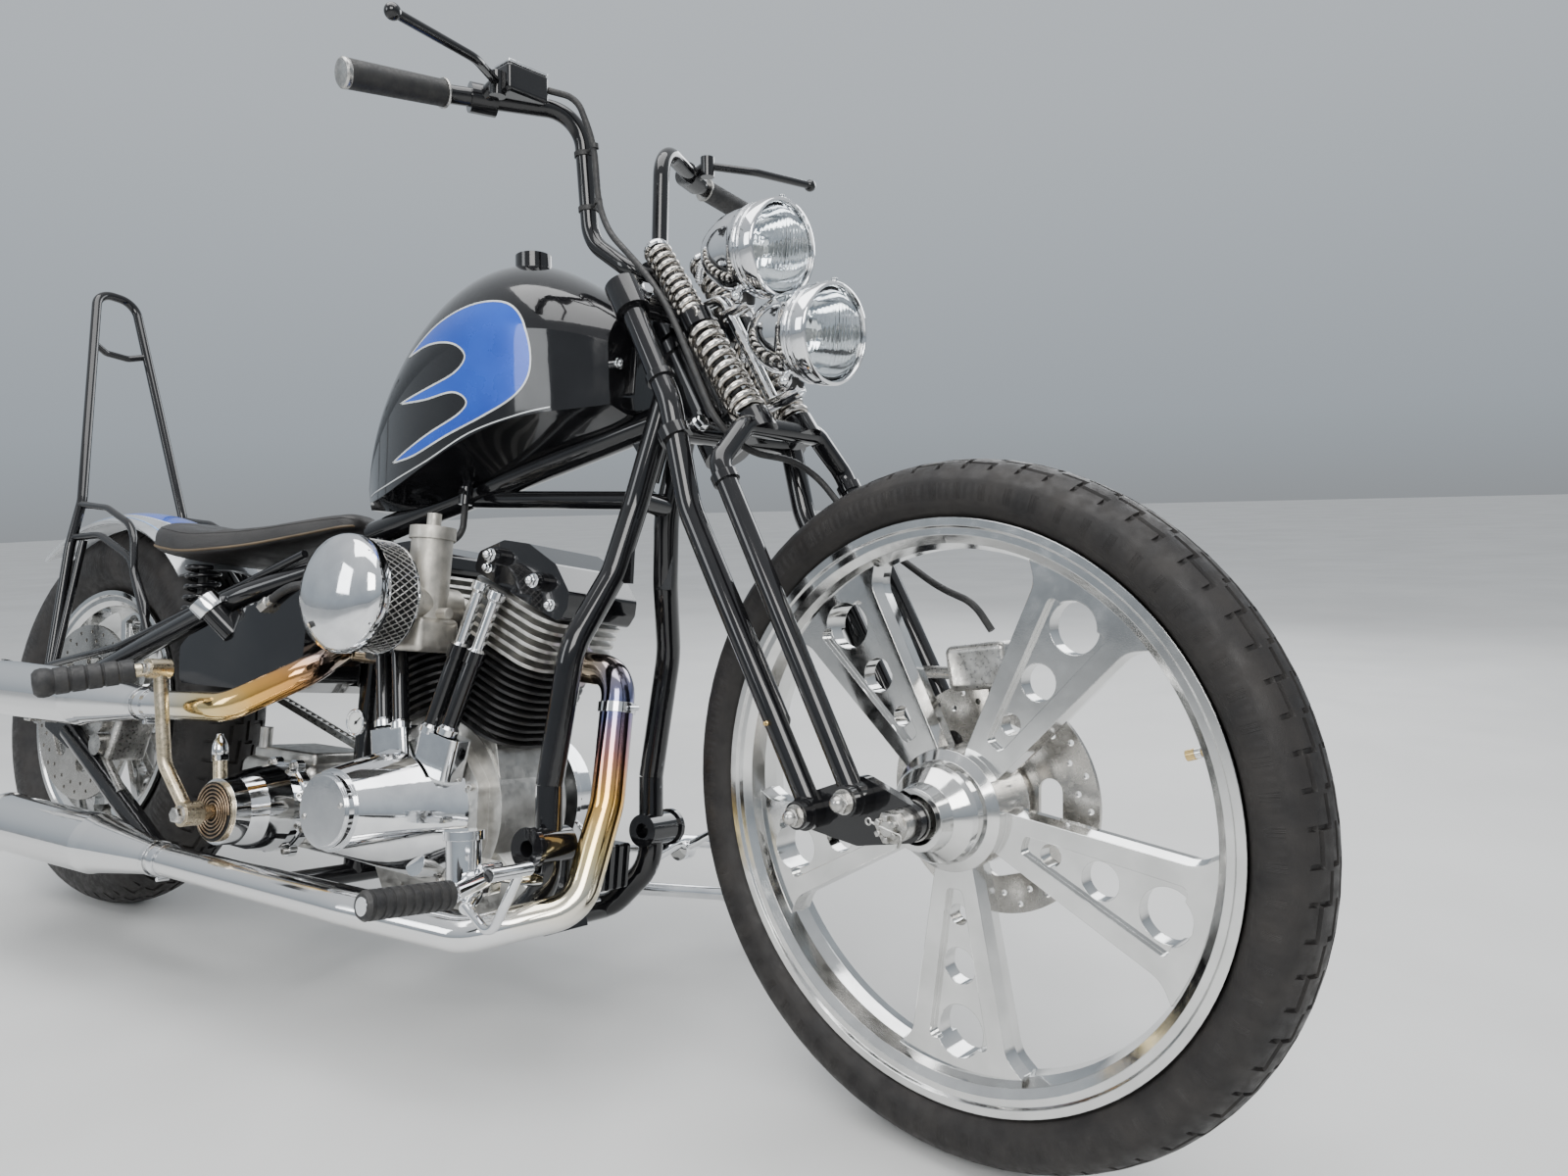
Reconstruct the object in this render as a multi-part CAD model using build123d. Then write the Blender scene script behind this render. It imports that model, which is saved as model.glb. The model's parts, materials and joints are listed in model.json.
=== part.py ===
from build123d import *
import math
import os

os.makedirs("parts", exist_ok=True)

# The motorcycle is drawn upright, in millimetres: X forward, Y to its left, Z up,
# with the point on the ground under the rear axle as zero. place() leans it on its stand.
WHEELBASE = 1537
FRONT_RADIUS = 346
REAR_RADIUS = 324
FRONT_TYRE_WIDTH = 92
REAR_TYRE_WIDTH = 130
RAKE = 31.0
FORK_OFFSET = 85
STEER_AT_REST = -12.9
LEAN = 11.1
PITCH = -0.075
FRAME_TUBE = 16
CRANK = (835, 0, 262)
CYLINDER_LEAN = 22.5
KICK_SHAFT = (545, 0, 231)
CHAIN_LINE = 90
CHAIN_PITCH = 15.875

FRONT_AXLE = Vector(WHEELBASE, 0, FRONT_RADIUS)
REAR_AXLE = Vector(0, 0, REAR_RADIUS)
STEER_POINT = Vector(WHEELBASE - FORK_OFFSET / math.cos(math.radians(RAKE)), 0, FRONT_RADIUS)
STEER_AXIS = Vector(-math.sin(math.radians(RAKE)), 0, math.cos(math.radians(RAKE)))
STEER_AHEAD = Vector(math.cos(math.radians(RAKE)), 0, math.sin(math.radians(RAKE)))
SIDEWAYS = Vector(0, 1, 0)

parts = {}
body_of = {}


def keep(name, body, *shapes):
    """Stores the solids of a node under its name, with the body that it rides on."""
    solids = [solid for shape in shapes for solid in shape.solids()]
    parts[name] = solids[0] if len(solids) == 1 else Compound(children=solids)
    body_of[name] = body


def pair(shape):
    """The shape and its mirror image on the other side of the centre plane."""
    return [shape, mirror(shape, about=Plane.XZ)]


def fuse(*shapes):
    """One solid from shapes that overlap."""
    result = shapes[0]
    for shape in shapes[1:]:
        result = result + shape
    return result


def clear_of(shape, *names):
    """The largest solid left of a shape once the named nodes are cut out of it."""
    left = shape - [solid for name in names for solid in parts[name].solids()]
    return max(left.solids(), key=lambda piece: piece.volume)


def rod(start, end, radius, end_radius=None):
    """A round bar or a cone between two points."""
    start, end = Vector(*start), Vector(*end)
    length = (end - start).length
    plane = Plane(origin=start, z_dir=end - start)
    if end_radius is None:
        return extrude(plane * Circle(radius), length)
    return plane * Cone(radius, end_radius, length, align=(Align.CENTER, Align.CENTER, Align.MIN))


def pipe(points, radius, bend):
    """A bent bar through the points, with one bend radius or a list of them."""
    path = FilletPolyline(*points, radius=bend)
    plane = Plane(origin=path @ 0, z_dir=path % 0)
    return sweep(plane * Circle(radius), path=path)


def cord_radii(points):
    """Bend radii as large as the straight runs beside each corner allow."""
    radii = []
    for before, corner, after in zip(points, points[1:], points[2:]):
        arriving, leaving = corner - before, after - corner
        half_turn = math.radians(arriving.get_angle(leaving)) / 2
        radii.append(round(0.45 * min(arriving.length, leaving.length) / math.tan(half_turn), 1))
    return radii


def turned(profile, centre, axis=(0, 1, 0)):
    """A solid of revolution. The profile lists (radius, distance along the axis)."""
    face = make_face(Plane.XZ * Polyline(*profile, close=True))
    return Plane(origin=centre, z_dir=axis) * revolve(face, Axis.Z)


def disc(centre, radius, thickness, axis=(0, 1, 0)):
    """A round plate centred on its middle plane."""
    return Plane(origin=centre, z_dir=axis) * Cylinder(radius, thickness)


def block(centre, size, turn=0, round_edges=0):
    """A box turned about the crosswise axis, with its edges rounded."""
    solid = Box(*size)
    if round_edges:
        solid = fillet(solid.edges(), round_edges)
    return Pos(*centre) * Rot(0, turn, 0) * solid


def slab(corners, y_from, y_to, rounding=0):
    """A plate cut from a side view, from one distance left of the centre plane to a lesser one."""
    face = make_face(Plane.XZ.offset(-y_from) * Polyline(*corners, close=True))
    if rounding:
        face = fillet(face.vertices(), rounding)
    return extrude(face, y_from - y_to, dir=(0, -1, 0))


def link_plate(eyes, y_from, y_to):
    """A plate with round ends. Eyes lists (x, z, radius)."""
    edges = (Pos(eyes[0][0], eyes[0][1]) * Circle(eyes[0][2])).edges()
    for x, z, radius in eyes[1:]:
        edges += (Pos(x, z) * Circle(radius)).edges()
    return extrude(Plane.XZ.offset(-y_from) * make_hull(edges), y_from - y_to, dir=(0, -1, 0))


def coil(start, end, radius, wire, turns, core):
    """A coil spring on its rod, drawn as a solid with one round ridge for each turn."""
    start, end = Vector(*start), Vector(*end)
    pitch = (end - start).length / turns
    profile = [(0, 0), (core, 0)]
    for turn in range(turns):
        middle = (turn + 0.5) * pitch
        profile += [(core, middle - wire), (radius - wire * 0.3, middle - wire * 0.6),
                    (radius, middle), (radius - wire * 0.3, middle + wire * 0.6), (core, middle + wire)]
    profile += [(core, turns * pitch), (0, turns * pitch)]
    return turned(profile, start, end - start)


# Billet wheels: five spokes with a sunk web and raised borders, and three holes in each.
SPOKE_COUNT = 5
BORDER_HALF_THICKNESS = 16
WEB_HALF_THICKNESS = 9
# Columns: distance from the axle, half width of the spoke, half width of the sunk web
FRONT_SPOKE = [(48, 22, 0), (80, 28, 9), (234, 56, 34), (262, 88, 38)]
REAR_SPOKE = [(44, 22, 0), (62, 25, 8), (158, 42, 24), (182, 66, 28)]
# Columns: distance from the axle, radius of the hole
FRONT_SPOKE_HOLES = [(107, 10.5), (158, 18), (222, 25)]
REAR_SPOKE_HOLES = [(80, 9), (113, 13), (150, 17)]


def spoke_solid(table, holes, flare):
    """One spoke lying along X, symmetric about its own plane."""
    right = [(distance, -width) for distance, width, _ in table]
    left = [(distance, width) for distance, width, _ in reversed(table)]
    outline = make_face(Polyline(*right, *left, close=True))
    elbows = [vertex for vertex in outline.vertices() if abs(vertex.X - table[2][0]) < 0.1]
    outline = fillet(elbows, flare)
    spoke = extrude(outline, BORDER_HALF_THICKNESS, both=True, taper=8)
    web_rows = table[1:3]
    web_right = [(distance, -web) for distance, _, web in web_rows]
    web_left = [(distance, web) for distance, _, web in reversed(web_rows)]
    web = fillet(make_face(Polyline(*web_right, *web_left, close=True)).vertices(), 6)
    sunk = extrude(web, BORDER_HALF_THICKNESS * 2)
    for side in (1, -1):
        spoke -= Rot(90 - 90 * side, 0, 0) * Pos(0, 0, WEB_HALF_THICKNESS) * sunk
    for distance, radius in holes:
        spoke -= Pos(distance, 0, 0) * Cylinder(radius, BORDER_HALF_THICKNESS * 4)
    return spoke


def billet_wheel(centre, rim, hub, table, holes, flare, start, bore):
    """Rim, hub and spokes in one piece. Start is the first spoke's angle."""
    wheel = fuse(turned(rim, centre), turned(hub, centre))
    spoke = spoke_solid(table, holes, flare)
    face_plane = Plane(origin=centre, x_dir=(1, 0, 0), z_dir=(0, -1, 0))
    for number in range(SPOKE_COUNT):
        wheel += face_plane * (Rot(0, 0, start + number * 360 / SPOKE_COUNT) * spoke)
    return wheel - disc(centre, bore, 300)


def rim_profile(radius, half, steps):
    """A stepped rim, the same on both sides. Steps lists (drop from the flange, inset)."""
    right = [(radius - drop, -half + inset) for drop, inset in steps]
    left = [(across, -y) for across, y in reversed(right)]
    return right + left


# Columns: drop below the flange, inset from the flange's outer face. Inner face, then outer face.
FRONT_RIM = [(30, 26), (25, 9), (17, 3), (10, 3), (8, 0), (0, 0), (0, 5), (11, 9), (21, 24)]
REAR_RIM = [(30, 34), (26, 10), (18, 4), (10, 3), (8, 0), (0, 0), (0, 5), (10, 10), (22, 30)]
FRONT_RIM_RADIUS = 287.5
FRONT_RIM_HALF = 36
REAR_RIM_RADIUS = 207
REAR_RIM_HALF = 55
# Columns: radius, distance from the wheel's centre plane
FRONT_HUB = [(13, -66), (24, -66), (24, -82), (30, -82), (33, -66), (46, -53), (49, -48), (50, -34),
             (60, -28), (61, 28), (50, 34), (46, 48), (30, 54), (13, 54)]
REAR_HUB = [(13, -66), (36, -66), (40, -50), (52, -34), (54, 34), (46, 56), (36, 70), (13, 70)]
FRONT_SPOKE_START = -88.6
REAR_SPOKE_START = -54


def tyre(centre, radius, half_width, rim_radius, bead_half):
    """A tyre as one ring: round tread, full side walls and two beads on the rim."""
    depth = radius - rim_radius
    shoulder = (radius - depth * 0.16, half_width * 0.72)
    bulge = (rim_radius + depth * 0.45, half_width)
    bead = (rim_radius + 4, bead_half + 2)
    heel = (rim_radius - 8, bead_half)

    def other(point):
        return (point[0], -point[1])

    profile = Plane.XZ * (
        Line(other(heel), other(bead))
        + ThreePointArc(other(bead), other(bulge), other(shoulder))
        + ThreePointArc(other(shoulder), (radius, 0), shoulder)
        + ThreePointArc(shoulder, bulge, bead)
        + Line(bead, heel)
        + Line(heel, other(heel)))
    solid = revolve(make_face(profile), Axis.Z)
    return Plane(origin=centre, z_dir=(0, 1, 0)) * solid


def brake_disc(centre, radius, inner, thickness, drillings, windows, window_ring, window_radius):
    """A flat rotor with rings of drillings and a slotted carrier."""
    plate = disc(centre, radius, thickness) - disc(centre, inner, thickness * 3)
    across = Plane(origin=centre, x_dir=(1, 0, 0), z_dir=(0, -1, 0))
    holes = []
    for ring_radius, count, turn in drillings:
        for number in range(count):
            holes.append(across * (Rot(0, 0, turn + 360 / count * number) * Pos(ring_radius, 0, 0)
                                   * Cylinder(3.2, 20)))
    slot = extrude(SlotCenterToCenter(window_radius * 2.2, window_radius * 2), 10, both=True)
    for number in range(windows):
        holes.append(across * (Rot(0, 0, 360 / windows * number) * Pos(window_ring, 0, 0)
                               * Rot(0, 0, 90) * slot))
    return plate - holes


FRONT_DISC_Y = 60
REAR_DISC_Y = -78
# Columns: radius of the ring, count, angle of the first hole
FRONT_DRILLINGS = [(111, 20, 0), (99, 20, 9)]
REAR_DRILLINGS = [(134, 24, 0), (120, 24, 7.5)]


def wheels():
    front = billet_wheel(FRONT_AXLE, rim_profile(FRONT_RIM_RADIUS, FRONT_RIM_HALF, FRONT_RIM),
                         FRONT_HUB, FRONT_SPOKE, FRONT_SPOKE_HOLES, 26, FRONT_SPOKE_START, 13)
    outward = Vector(math.cos(math.radians(18.5)), 0, math.sin(math.radians(18.5)))
    valve = FRONT_AXLE + outward * 240
    front += rod(valve, valve + outward * 24, 3)
    front += rod(valve + outward * 2, valve + outward * 12, 4.5)
    keep("front_wheel", "front_wheel", front)
    rubber = tyre(FRONT_AXLE, FRONT_RADIUS, FRONT_TYRE_WIDTH / 2, FRONT_RIM_RADIUS - 6,
                  FRONT_RIM_HALF - 14)
    keep("front_tyre", "front_wheel", rubber - front)
    rotor = brake_disc(FRONT_AXLE + Vector(0, FRONT_DISC_Y, 0), 120, 32, 5, FRONT_DRILLINGS,
                       5, 68, 13)
    rotor += disc(FRONT_AXLE + Vector(0, 56, 0), 44, 8) - disc(FRONT_AXLE, 30, 300)
    keep("front_brake_disc", "front_wheel", rotor - front)

    rear = billet_wheel(REAR_AXLE, rim_profile(REAR_RIM_RADIUS, REAR_RIM_HALF, REAR_RIM), REAR_HUB,
                        REAR_SPOKE, REAR_SPOKE_HOLES, 18, REAR_SPOKE_START, 13)
    keep("rear_wheel", "rear_wheel", rear)
    rubber = tyre(REAR_AXLE, REAR_RADIUS, REAR_TYRE_WIDTH / 2, REAR_RIM_RADIUS - 6,
                  REAR_RIM_HALF - 16)
    keep("rear_tyre", "rear_wheel", rubber - rear)
    rotor = brake_disc(REAR_AXLE + Vector(0, REAR_DISC_Y, 0), 146, 30, 6, REAR_DRILLINGS, 5, 84, 16)
    rotor += disc(REAR_AXLE + Vector(0, -71, 0), 44, 9) - disc(REAR_AXLE, 30, 300)
    keep("rear_brake_disc", "rear_wheel", rotor - rear)


# Final drive. The teeth stand clear inside the chain's rollers.
REAR_TEETH = 46
FRONT_TEETH = 22
ROLLER = 5.1
LINK_HEIGHT = 11


def pitch_radius(teeth):
    return CHAIN_PITCH / (2 * math.sin(math.pi / teeth))


def toothed(centre, teeth, thickness, hub_hole):
    """A sprocket blank with a gap cut between its teeth."""
    outside = pitch_radius(teeth) - ROLLER - 0.8
    plate = disc(centre, outside, thickness) - disc(centre, hub_hole, thickness * 3)
    across = Plane(origin=centre, x_dir=(1, 0, 0), z_dir=(0, -1, 0))
    gaps = [across * (Rot(0, 0, 360 / teeth * i) * Pos(outside + 2.2, 0, 0) * Cylinder(ROLLER, 30))
            for i in range(teeth)]
    return plate - gaps


def chain_points():
    """Pins along the loop round both sprockets, at the chain's pitch."""
    rear_radius, front_radius = pitch_radius(REAR_TEETH), pitch_radius(FRONT_TEETH)
    across, rise = KICK_SHAFT[0] - REAR_AXLE.X, KICK_SHAFT[2] - REAR_AXLE.Z
    span = math.hypot(across, rise)
    heading = math.atan2(rise, across)
    spread = math.acos((rear_radius - front_radius) / span)
    run = math.sqrt(span ** 2 - (rear_radius - front_radius) ** 2)
    front_arc = 2 * spread * front_radius
    rear_arc = (2 * math.pi - 2 * spread) * rear_radius

    def on_rear(angle):
        return (REAR_AXLE.X + rear_radius * math.cos(angle), REAR_AXLE.Z + rear_radius * math.sin(angle))

    def on_front(angle):
        return (KICK_SHAFT[0] + front_radius * math.cos(angle),
                KICK_SHAFT[2] + front_radius * math.sin(angle))

    def between(start, end, share):
        return tuple(a + (b - a) * share for a, b in zip(start, end))

    high, low = heading + spread, heading - spread
    length = 2 * run + front_arc + rear_arc
    count = round(length / CHAIN_PITCH / 2) * 2
    points = []
    for number in range(count):
        travel = number * length / count
        if travel < run:
            points.append(between(on_rear(high), on_front(high), travel / run))
        elif travel < run + front_arc:
            points.append(on_front(high - (travel - run) / front_radius))
        elif travel < 2 * run + front_arc:
            points.append(between(on_front(low), on_rear(low), (travel - run - front_arc) / run))
        else:
            points.append(on_rear(low - (travel - 2 * run - front_arc) / rear_radius))
    return points


def final_drive():
    centre = REAR_AXLE + Vector(0, CHAIN_LINE, 0)
    sprocket = toothed(centre, REAR_TEETH, 7, 34)
    across = Plane(origin=centre, x_dir=(1, 0, 0), z_dir=(0, -1, 0))
    sprocket -= [across * (Rot(0, 0, 72 * i) * Pos(78, 0, 0) * Cylinder(18, 30)) for i in range(5)]
    sprocket += disc(REAR_AXLE + Vector(0, 78.5, 0), 46, 17) - disc(REAR_AXLE, 13, 300)
    keep("rear_sprocket", "rear_wheel", sprocket)

    points = chain_points()
    rollers = Sketch() + [Pos(x, z) * RegularPolygon(ROLLER, 8) for x, z in points]
    chain = extrude(Plane.XZ.offset(-(CHAIN_LINE + 4.8)) * rollers, 9.6)
    for y in (CHAIN_LINE - 4.8, CHAIN_LINE + 7.2):
        plates = Sketch() + [
            Pos((x + next_x) / 2, (z + next_z) / 2)
            * Rot(0, 0, math.degrees(math.atan2(next_z - z, next_x - x)))
            * Rectangle(CHAIN_PITCH + 7, LINK_HEIGHT)
            for (x, z), (next_x, next_z) in zip(points, points[1:] + points[:1])]
        chain = chain + extrude(Plane.XZ.offset(-y) * plates, 2.4)
    keep("drive_chain", "frame", chain)
    gear_centre = (KICK_SHAFT[0], CHAIN_LINE, KICK_SHAFT[2])
    small = toothed(gear_centre, FRONT_TEETH, 7, 8)
    small += rod((KICK_SHAFT[0], 68, KICK_SHAFT[2]), (KICK_SHAFT[0], 99, KICK_SHAFT[2]), 17)
    keep("gearbox_sprocket", "frame", small)


# Frame tubes of the right side, by their corners: x, y, z
DOWN_TUBE = [(1136, -24, 806), (1103, -32, 655), (1094, -52, 570), (1076, -95, 480), (1060, -97, 318)]
LOWER_RAIL = [(1060, -97, 318), (1070, -97, 205), (1006, -97, 138), (330, -118, 138), (42, -118, 296)]
UPPER_STAY = [(20, -118, 362), (440, -116, 521), (612, -38, 592)]
BACKBONE = [(1152, 0, 782), (590, 0, 630)]
LUG = (1069, 97, 250)
LUG_BORE = 9.5
LUG_SPAN = (74, 136)
NECK_SPAN = (476, 600)
SEAT_POST = (612, 138, 634)


def steer_point(along, ahead, y=0):
    """A point by its height along the steering axis and its distance ahead of it."""
    return STEER_POINT + STEER_AXIS * along + STEER_AHEAD * ahead + SIDEWAYS * y


def frame_tubes():
    neck_low, neck_high = NECK_SPAN
    neck = rod(steer_point(neck_low, 0), steer_point(neck_high, 0), 27)
    for along in (neck_low, neck_high - 16):
        neck += rod(steer_point(along, 0), steer_point(along + 16, 0), 31)
    post_x, post_low, post_high = SEAT_POST
    spine = fuse(
        rod(BACKBONE[0], BACKBONE[1], 19), neck,
        rod((post_x, 0, post_high), (post_x, 0, post_low), 14),
        rod((1104, 0, 668), (770, 0, 678), 12),
        rod((1104, -34, 664), (1104, 34, 664), 14),
        slab([(1128, 770), (1060, 752), (1108, 690)], 5, -5))
    spine -= rod(steer_point(neck_low - 5, 0), steer_point(neck_high + 5, 0), 15)
    keep("frame_backbone", "frame", spine)

    down = pipe(DOWN_TUBE, FRAME_TUBE, [160, 90, 90])
    tab = slab([(1090, 560), (1114, 560), (1112, 622), (1092, 622)], -38, -44)
    down += tab - rod((1102, -60, 606), (1102, -20, 606), 4)
    rail = pipe(LOWER_RAIL, FRAME_TUBE, [60, 60, 150])
    lug_x, _, lug_z = LUG
    lug_inner, lug_outer = LUG_SPAN
    rail += rod((lug_x, -lug_inner, lug_z), (lug_x, -lug_outer, lug_z), 21)
    rail += rod((lug_x, 7 - lug_outer, lug_z), (lug_x, -lug_outer, lug_z), 24)
    rail += slab([(-42, 352), (-30, 384), (40, 392), (70, 330), (48, 268), (-30, 296)], -113, -123)
    rail -= rod((lug_x, 5 - lug_inner, lug_z), (lug_x, -lug_outer - 5, lug_z), LUG_BORE)
    rail -= Plane(origin=REAR_AXLE, x_dir=(1, 0, 0), z_dir=(0, -1, 0)) * extrude(
        SlotCenterToCenter(24, 22), 200)
    rails = pair(rail)
    keep("frame_rails", "frame", *rails)
    front_crossing = rod((lug_x - 70, -97, 138), (lug_x - 70, 97, 138), 14)
    front_crossing += slab([(970, 128), (1020, 128), (1000, 178), (965, 178)], 40, -40)
    rear_crossing = rod((post_x, -109, 138), (post_x, 109, 138), 14)
    keep("frame_crossmembers", "frame", front_crossing - rails, rear_crossing - [spine, *rails])
    down = down - [spine, *rails]
    keep("frame_downtubes", "frame", *pair(max(down.solids(), key=lambda piece: piece.volume)))
    stay = pipe(UPPER_STAY, FRAME_TUBE, 170)
    seat_arm = rod((290, -118, 468), (290, -74, 478), 9)
    side = fuse(stay, seat_arm, rod((290, -74, 470), (290, -74, 486), 13))
    stays = fuse(side, mirror(side, about=Plane.XZ), rod((332, -118, 480), (332, 118, 480), 9))
    keep("frame_stays", "frame", stays - [spine, *rails])
    axle = rod((0, -150, REAR_RADIUS), (0, 150, REAR_RADIUS), 9.5)
    for side in (-1, 1):
        axle += rod((0, side * 123.2, REAR_RADIUS), (0, side * 140, REAR_RADIUS), 19, 17)
    for near, far in ((-112.8, -86), (99, 112.8)):
        axle += rod((0, near, REAR_RADIUS), (0, far, REAR_RADIUS), 15)
    keep("rear_axle", "frame", axle - rails)


def cylinder_point(lean, distance, sideways=0, y=0):
    """A point by its distance along a cylinder's centre line and its distance across it."""
    angle = math.radians(lean)
    return Vector(
        CRANK[0] + distance * math.sin(angle) + sideways * math.cos(angle), y,
        CRANK[2] + distance * math.cos(angle) - sideways * math.sin(angle))


# Columns: number of fins, first fin and pitch along the cylinder, fin thickness, size, corner, core
BARREL = (10, 122, 10.6, 3.6, 142, 44, 56)
HEAD = (6, 231, 12.4, 4.4, 156, 30, 58)
# Rocker box outline. Columns: distance across the cylinder, outward, and along it
ROCKER_BOX = [(-82, 301), (-86, 326), (-52, 356), (-10, 368), (44, 362), (80, 340), (86, 322), (82, 301)]
# Columns: lean of the cylinder, foot's distance ahead of the crank, top's distance across the cylinder
PUSHRODS = [(22.5, 57, -8), (22.5, 26, -40), (-22.5, -26, 40), (-22.5, -57, 8)]


def finned(lean, low, high, table):
    """A round core with square fins that have rounded corners."""
    count, first, pitch, thickness, size, corner, core = table
    solid = rod(cylinder_point(lean, low), cylinder_point(lean, high), core)
    across = cylinder_point(lean, 0, 1) - cylinder_point(lean, 0)
    axis = cylinder_point(lean, 1) - cylinder_point(lean, 0)
    for number in range(count):
        plane = Plane(origin=cylinder_point(lean, first + pitch * number), x_dir=across, z_dir=axis)
        solid += extrude(plane * RectangleRounded(size, size, corner), thickness)
    return solid


def engine():
    x, _, z = CRANK
    case = disc(CRANK, 116, 118)
    case += slab([(x - 108, z + 40), (x - 92, z + 98), (x - 52, z + 122), (x, z + 108),
                  (x + 52, z + 122), (x + 92, z + 98), (x + 108, z + 40)], 56, -56)
    case += slab([(x - 120, z - 88), (x - 96, z - 124), (x + 150, z - 124), (x + 165, z - 84),
                  (x + 100, z - 40), (x - 90, z - 40)], 50, -50)
    case += slab([(x - 112, z - 20), (x - 88, z + 66), (x - 30, z + 96), (x + 48, z + 92),
                  (x + 92, z + 40), (x + 96, z - 40), (x + 40, z - 92), (x - 60, z - 86)],
                 -58, -78, rounding=24)
    for number in range(5):
        angle = math.radians(-150 + 30 * number)
        bolt_x, bolt_z = x + 124 * math.cos(angle), z + 124 * math.sin(angle)
        case += rod((bolt_x, -58, bolt_z), (bolt_x, 58, bolt_z), 8)
    case += rod((728, -80, 352), (742, -56, 316), 5)
    case += rod((728, -84, 360), (728, -108, 364), 17)
    keep("engine_crankcase", "frame", clear_of(case, "frame_rails", "frame_crossmembers"))

    toward_right = Plane(origin=(x - 8, -78.2, z), z_dir=(0, -1, 0), x_dir=(1, 0, 0))
    nose = Plane(origin=(x - 40, -186, z + 2), z_dir=(0, -1, 0), x_dir=(1, 0, 0))
    cover = loft([toward_right * Circle(88), nose * Circle(50)])
    cover += rod((x - 40, -185, z + 2), (x - 40, -196, z + 2), 46)
    cover += rod((x - 40, -195, z + 2), (x - 40, -199, z + 2), 42)
    cover += rod((x + 30, -78.2, z - 66), (x + 30, -112, z - 60), 16)
    cover -= slab([(x - 90, z + 46), (x - 90, z + 150), (x + 90, z + 150), (x + 90, z + 46)], -70, -116)
    keep("cam_cover", "frame", clear_of(cover, "engine_crankcase"))

    barrels, heads, boxes = [], [], []
    for lean in (CYLINDER_LEAN, -CYLINDER_LEAN):
        outward = math.copysign(1, lean)
        side = Align.MIN if lean > 0 else Align.MAX
        half = Pos(x + outward * 0.6, 0, z) * Box(600, 400, 900, align=(side, Align.CENTER, Align.CENTER))
        barrel = (finned(lean, 104, 226, BARREL) & half) - parts["engine_crankcase"]
        barrels.append(barrel)
        port = rod(cylinder_point(lean, 262, 40 * outward, -8),
                   cylinder_point(lean, 250, 92 * outward, -20), 25)
        head = ((finned(lean, 226.2, 301, HEAD) & half) + port) - barrel
        heads.append(head)
        corners = [cylinder_point(lean, distance, outward * across) for across, distance in ROCKER_BOX]
        box = slab([(corner.X, corner.Z) for corner in corners], 66, -66, rounding=9)
        for across in (-48, 34):
            cap = cylinder_point(lean, 334, outward * across)
            box += rod((cap.X, -60, cap.Z), (cap.X, -76, cap.Z), 12)
            box += rod((cap.X, -76, cap.Z), (cap.X, -82, cap.Z), 9, 6)
        boxes.append((box & half) - head)
    keep("cylinder_barrels", "frame", *barrels)
    keep("cylinder_heads", "frame", *heads)
    keep("rocker_boxes", "frame", *boxes)

    tubes = []
    for lean, ahead, across in PUSHRODS:
        foot = Vector(x + ahead, -104, z + 100)
        top = cylinder_point(lean, 300, across, -88)
        length = (top - foot).length
        profile = [(0, 0), (13, 0), (13, 8), (10, 12), (10, length * 0.5), (12, length * 0.5),
                   (12, length * 0.58), (7.5, length * 0.6), (7.5, length - 14), (11, length - 10),
                   (11, length), (0, length)]
        tubes.append(clear_of(turned(profile, foot, top - foot), "rocker_boxes", "cylinder_heads"))
    keep("pushrod_tubes", "frame", *tubes)
    lifters = []
    for lean, ahead in ((11, 42), (-11, -42)):
        lifter = Pos(x + ahead, -96, z + 74) * Rot(0, lean, 0) * fillet(
            Box(66, 34, 52).edges().filter_by(Axis.Z), 9)
        lifters.append(clear_of(lifter, "engine_crankcase", "cam_cover", "pushrod_tubes"))
    keep("lifter_blocks", "frame", *lifters)


# Fuel hose from the tap under the tank to the carburettor, by its corners: x, y, z
FUEL_HOSE = [(812, -34, 663.8), (812, -34, 616), (790, -94, 596), (786, -104, 566), (786, -104, 534)]
FUEL_HOSE_RADIUS = 4.5


def intake():
    x = CRANK[0]
    body = rod((x, -30, 512), (x, -64, 520), 20)
    body += rod((x, -62, 522), (x, -149, 524), 24)
    body += rod((x, -104, 470), (x, -104, 610), 26)
    body += rod((x, -104, 606), (x, -104, 622), 29)
    body += rod((x, -104, 620), (x, -104, 640), 9)
    body += block((x, -104, 484), (58, 66, 44), round_edges=9)
    body += rod((x + 24, -104, 512), (x + 42, -104, 512), 7)
    hose_x, hose_y, hose_z = FUEL_HOSE[-1]
    body += rod((x - 20, hose_y, 512), (hose_x - 4, hose_y, 512), 6)
    body += rod((hose_x, hose_y, 512), (hose_x, hose_y, hose_z - 0.2), 4.5)
    body += rod((x, -150, 524), (x, -138, 524), 32)
    keep("carburettor", "frame", clear_of(body, "cylinder_heads", "cylinder_barrels", "pushrod_tubes",
                                          "rocker_boxes"))
    corners = [Vector(*corner) for corner in FUEL_HOSE]
    radii = cord_radii(corners)
    hose = pipe(corners, FUEL_HOSE_RADIUS, radii)
    print("fuel_hose radii", radii)
    print("fuel_hose length", round(hose.volume / (math.pi * FUEL_HOSE_RADIUS ** 2)))
    keep("fuel_hose", "frame", hose)
    dome = [(0, 0), (68, 0), (70, 4), (70, 46), (73, 50), (73, 58), (66, 70), (50, 80), (26, 86), (0, 88)]
    keep("air_cleaner", "frame", turned(dome, (x - 28, -150.2, 527), (0, -1, 0)))


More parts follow.
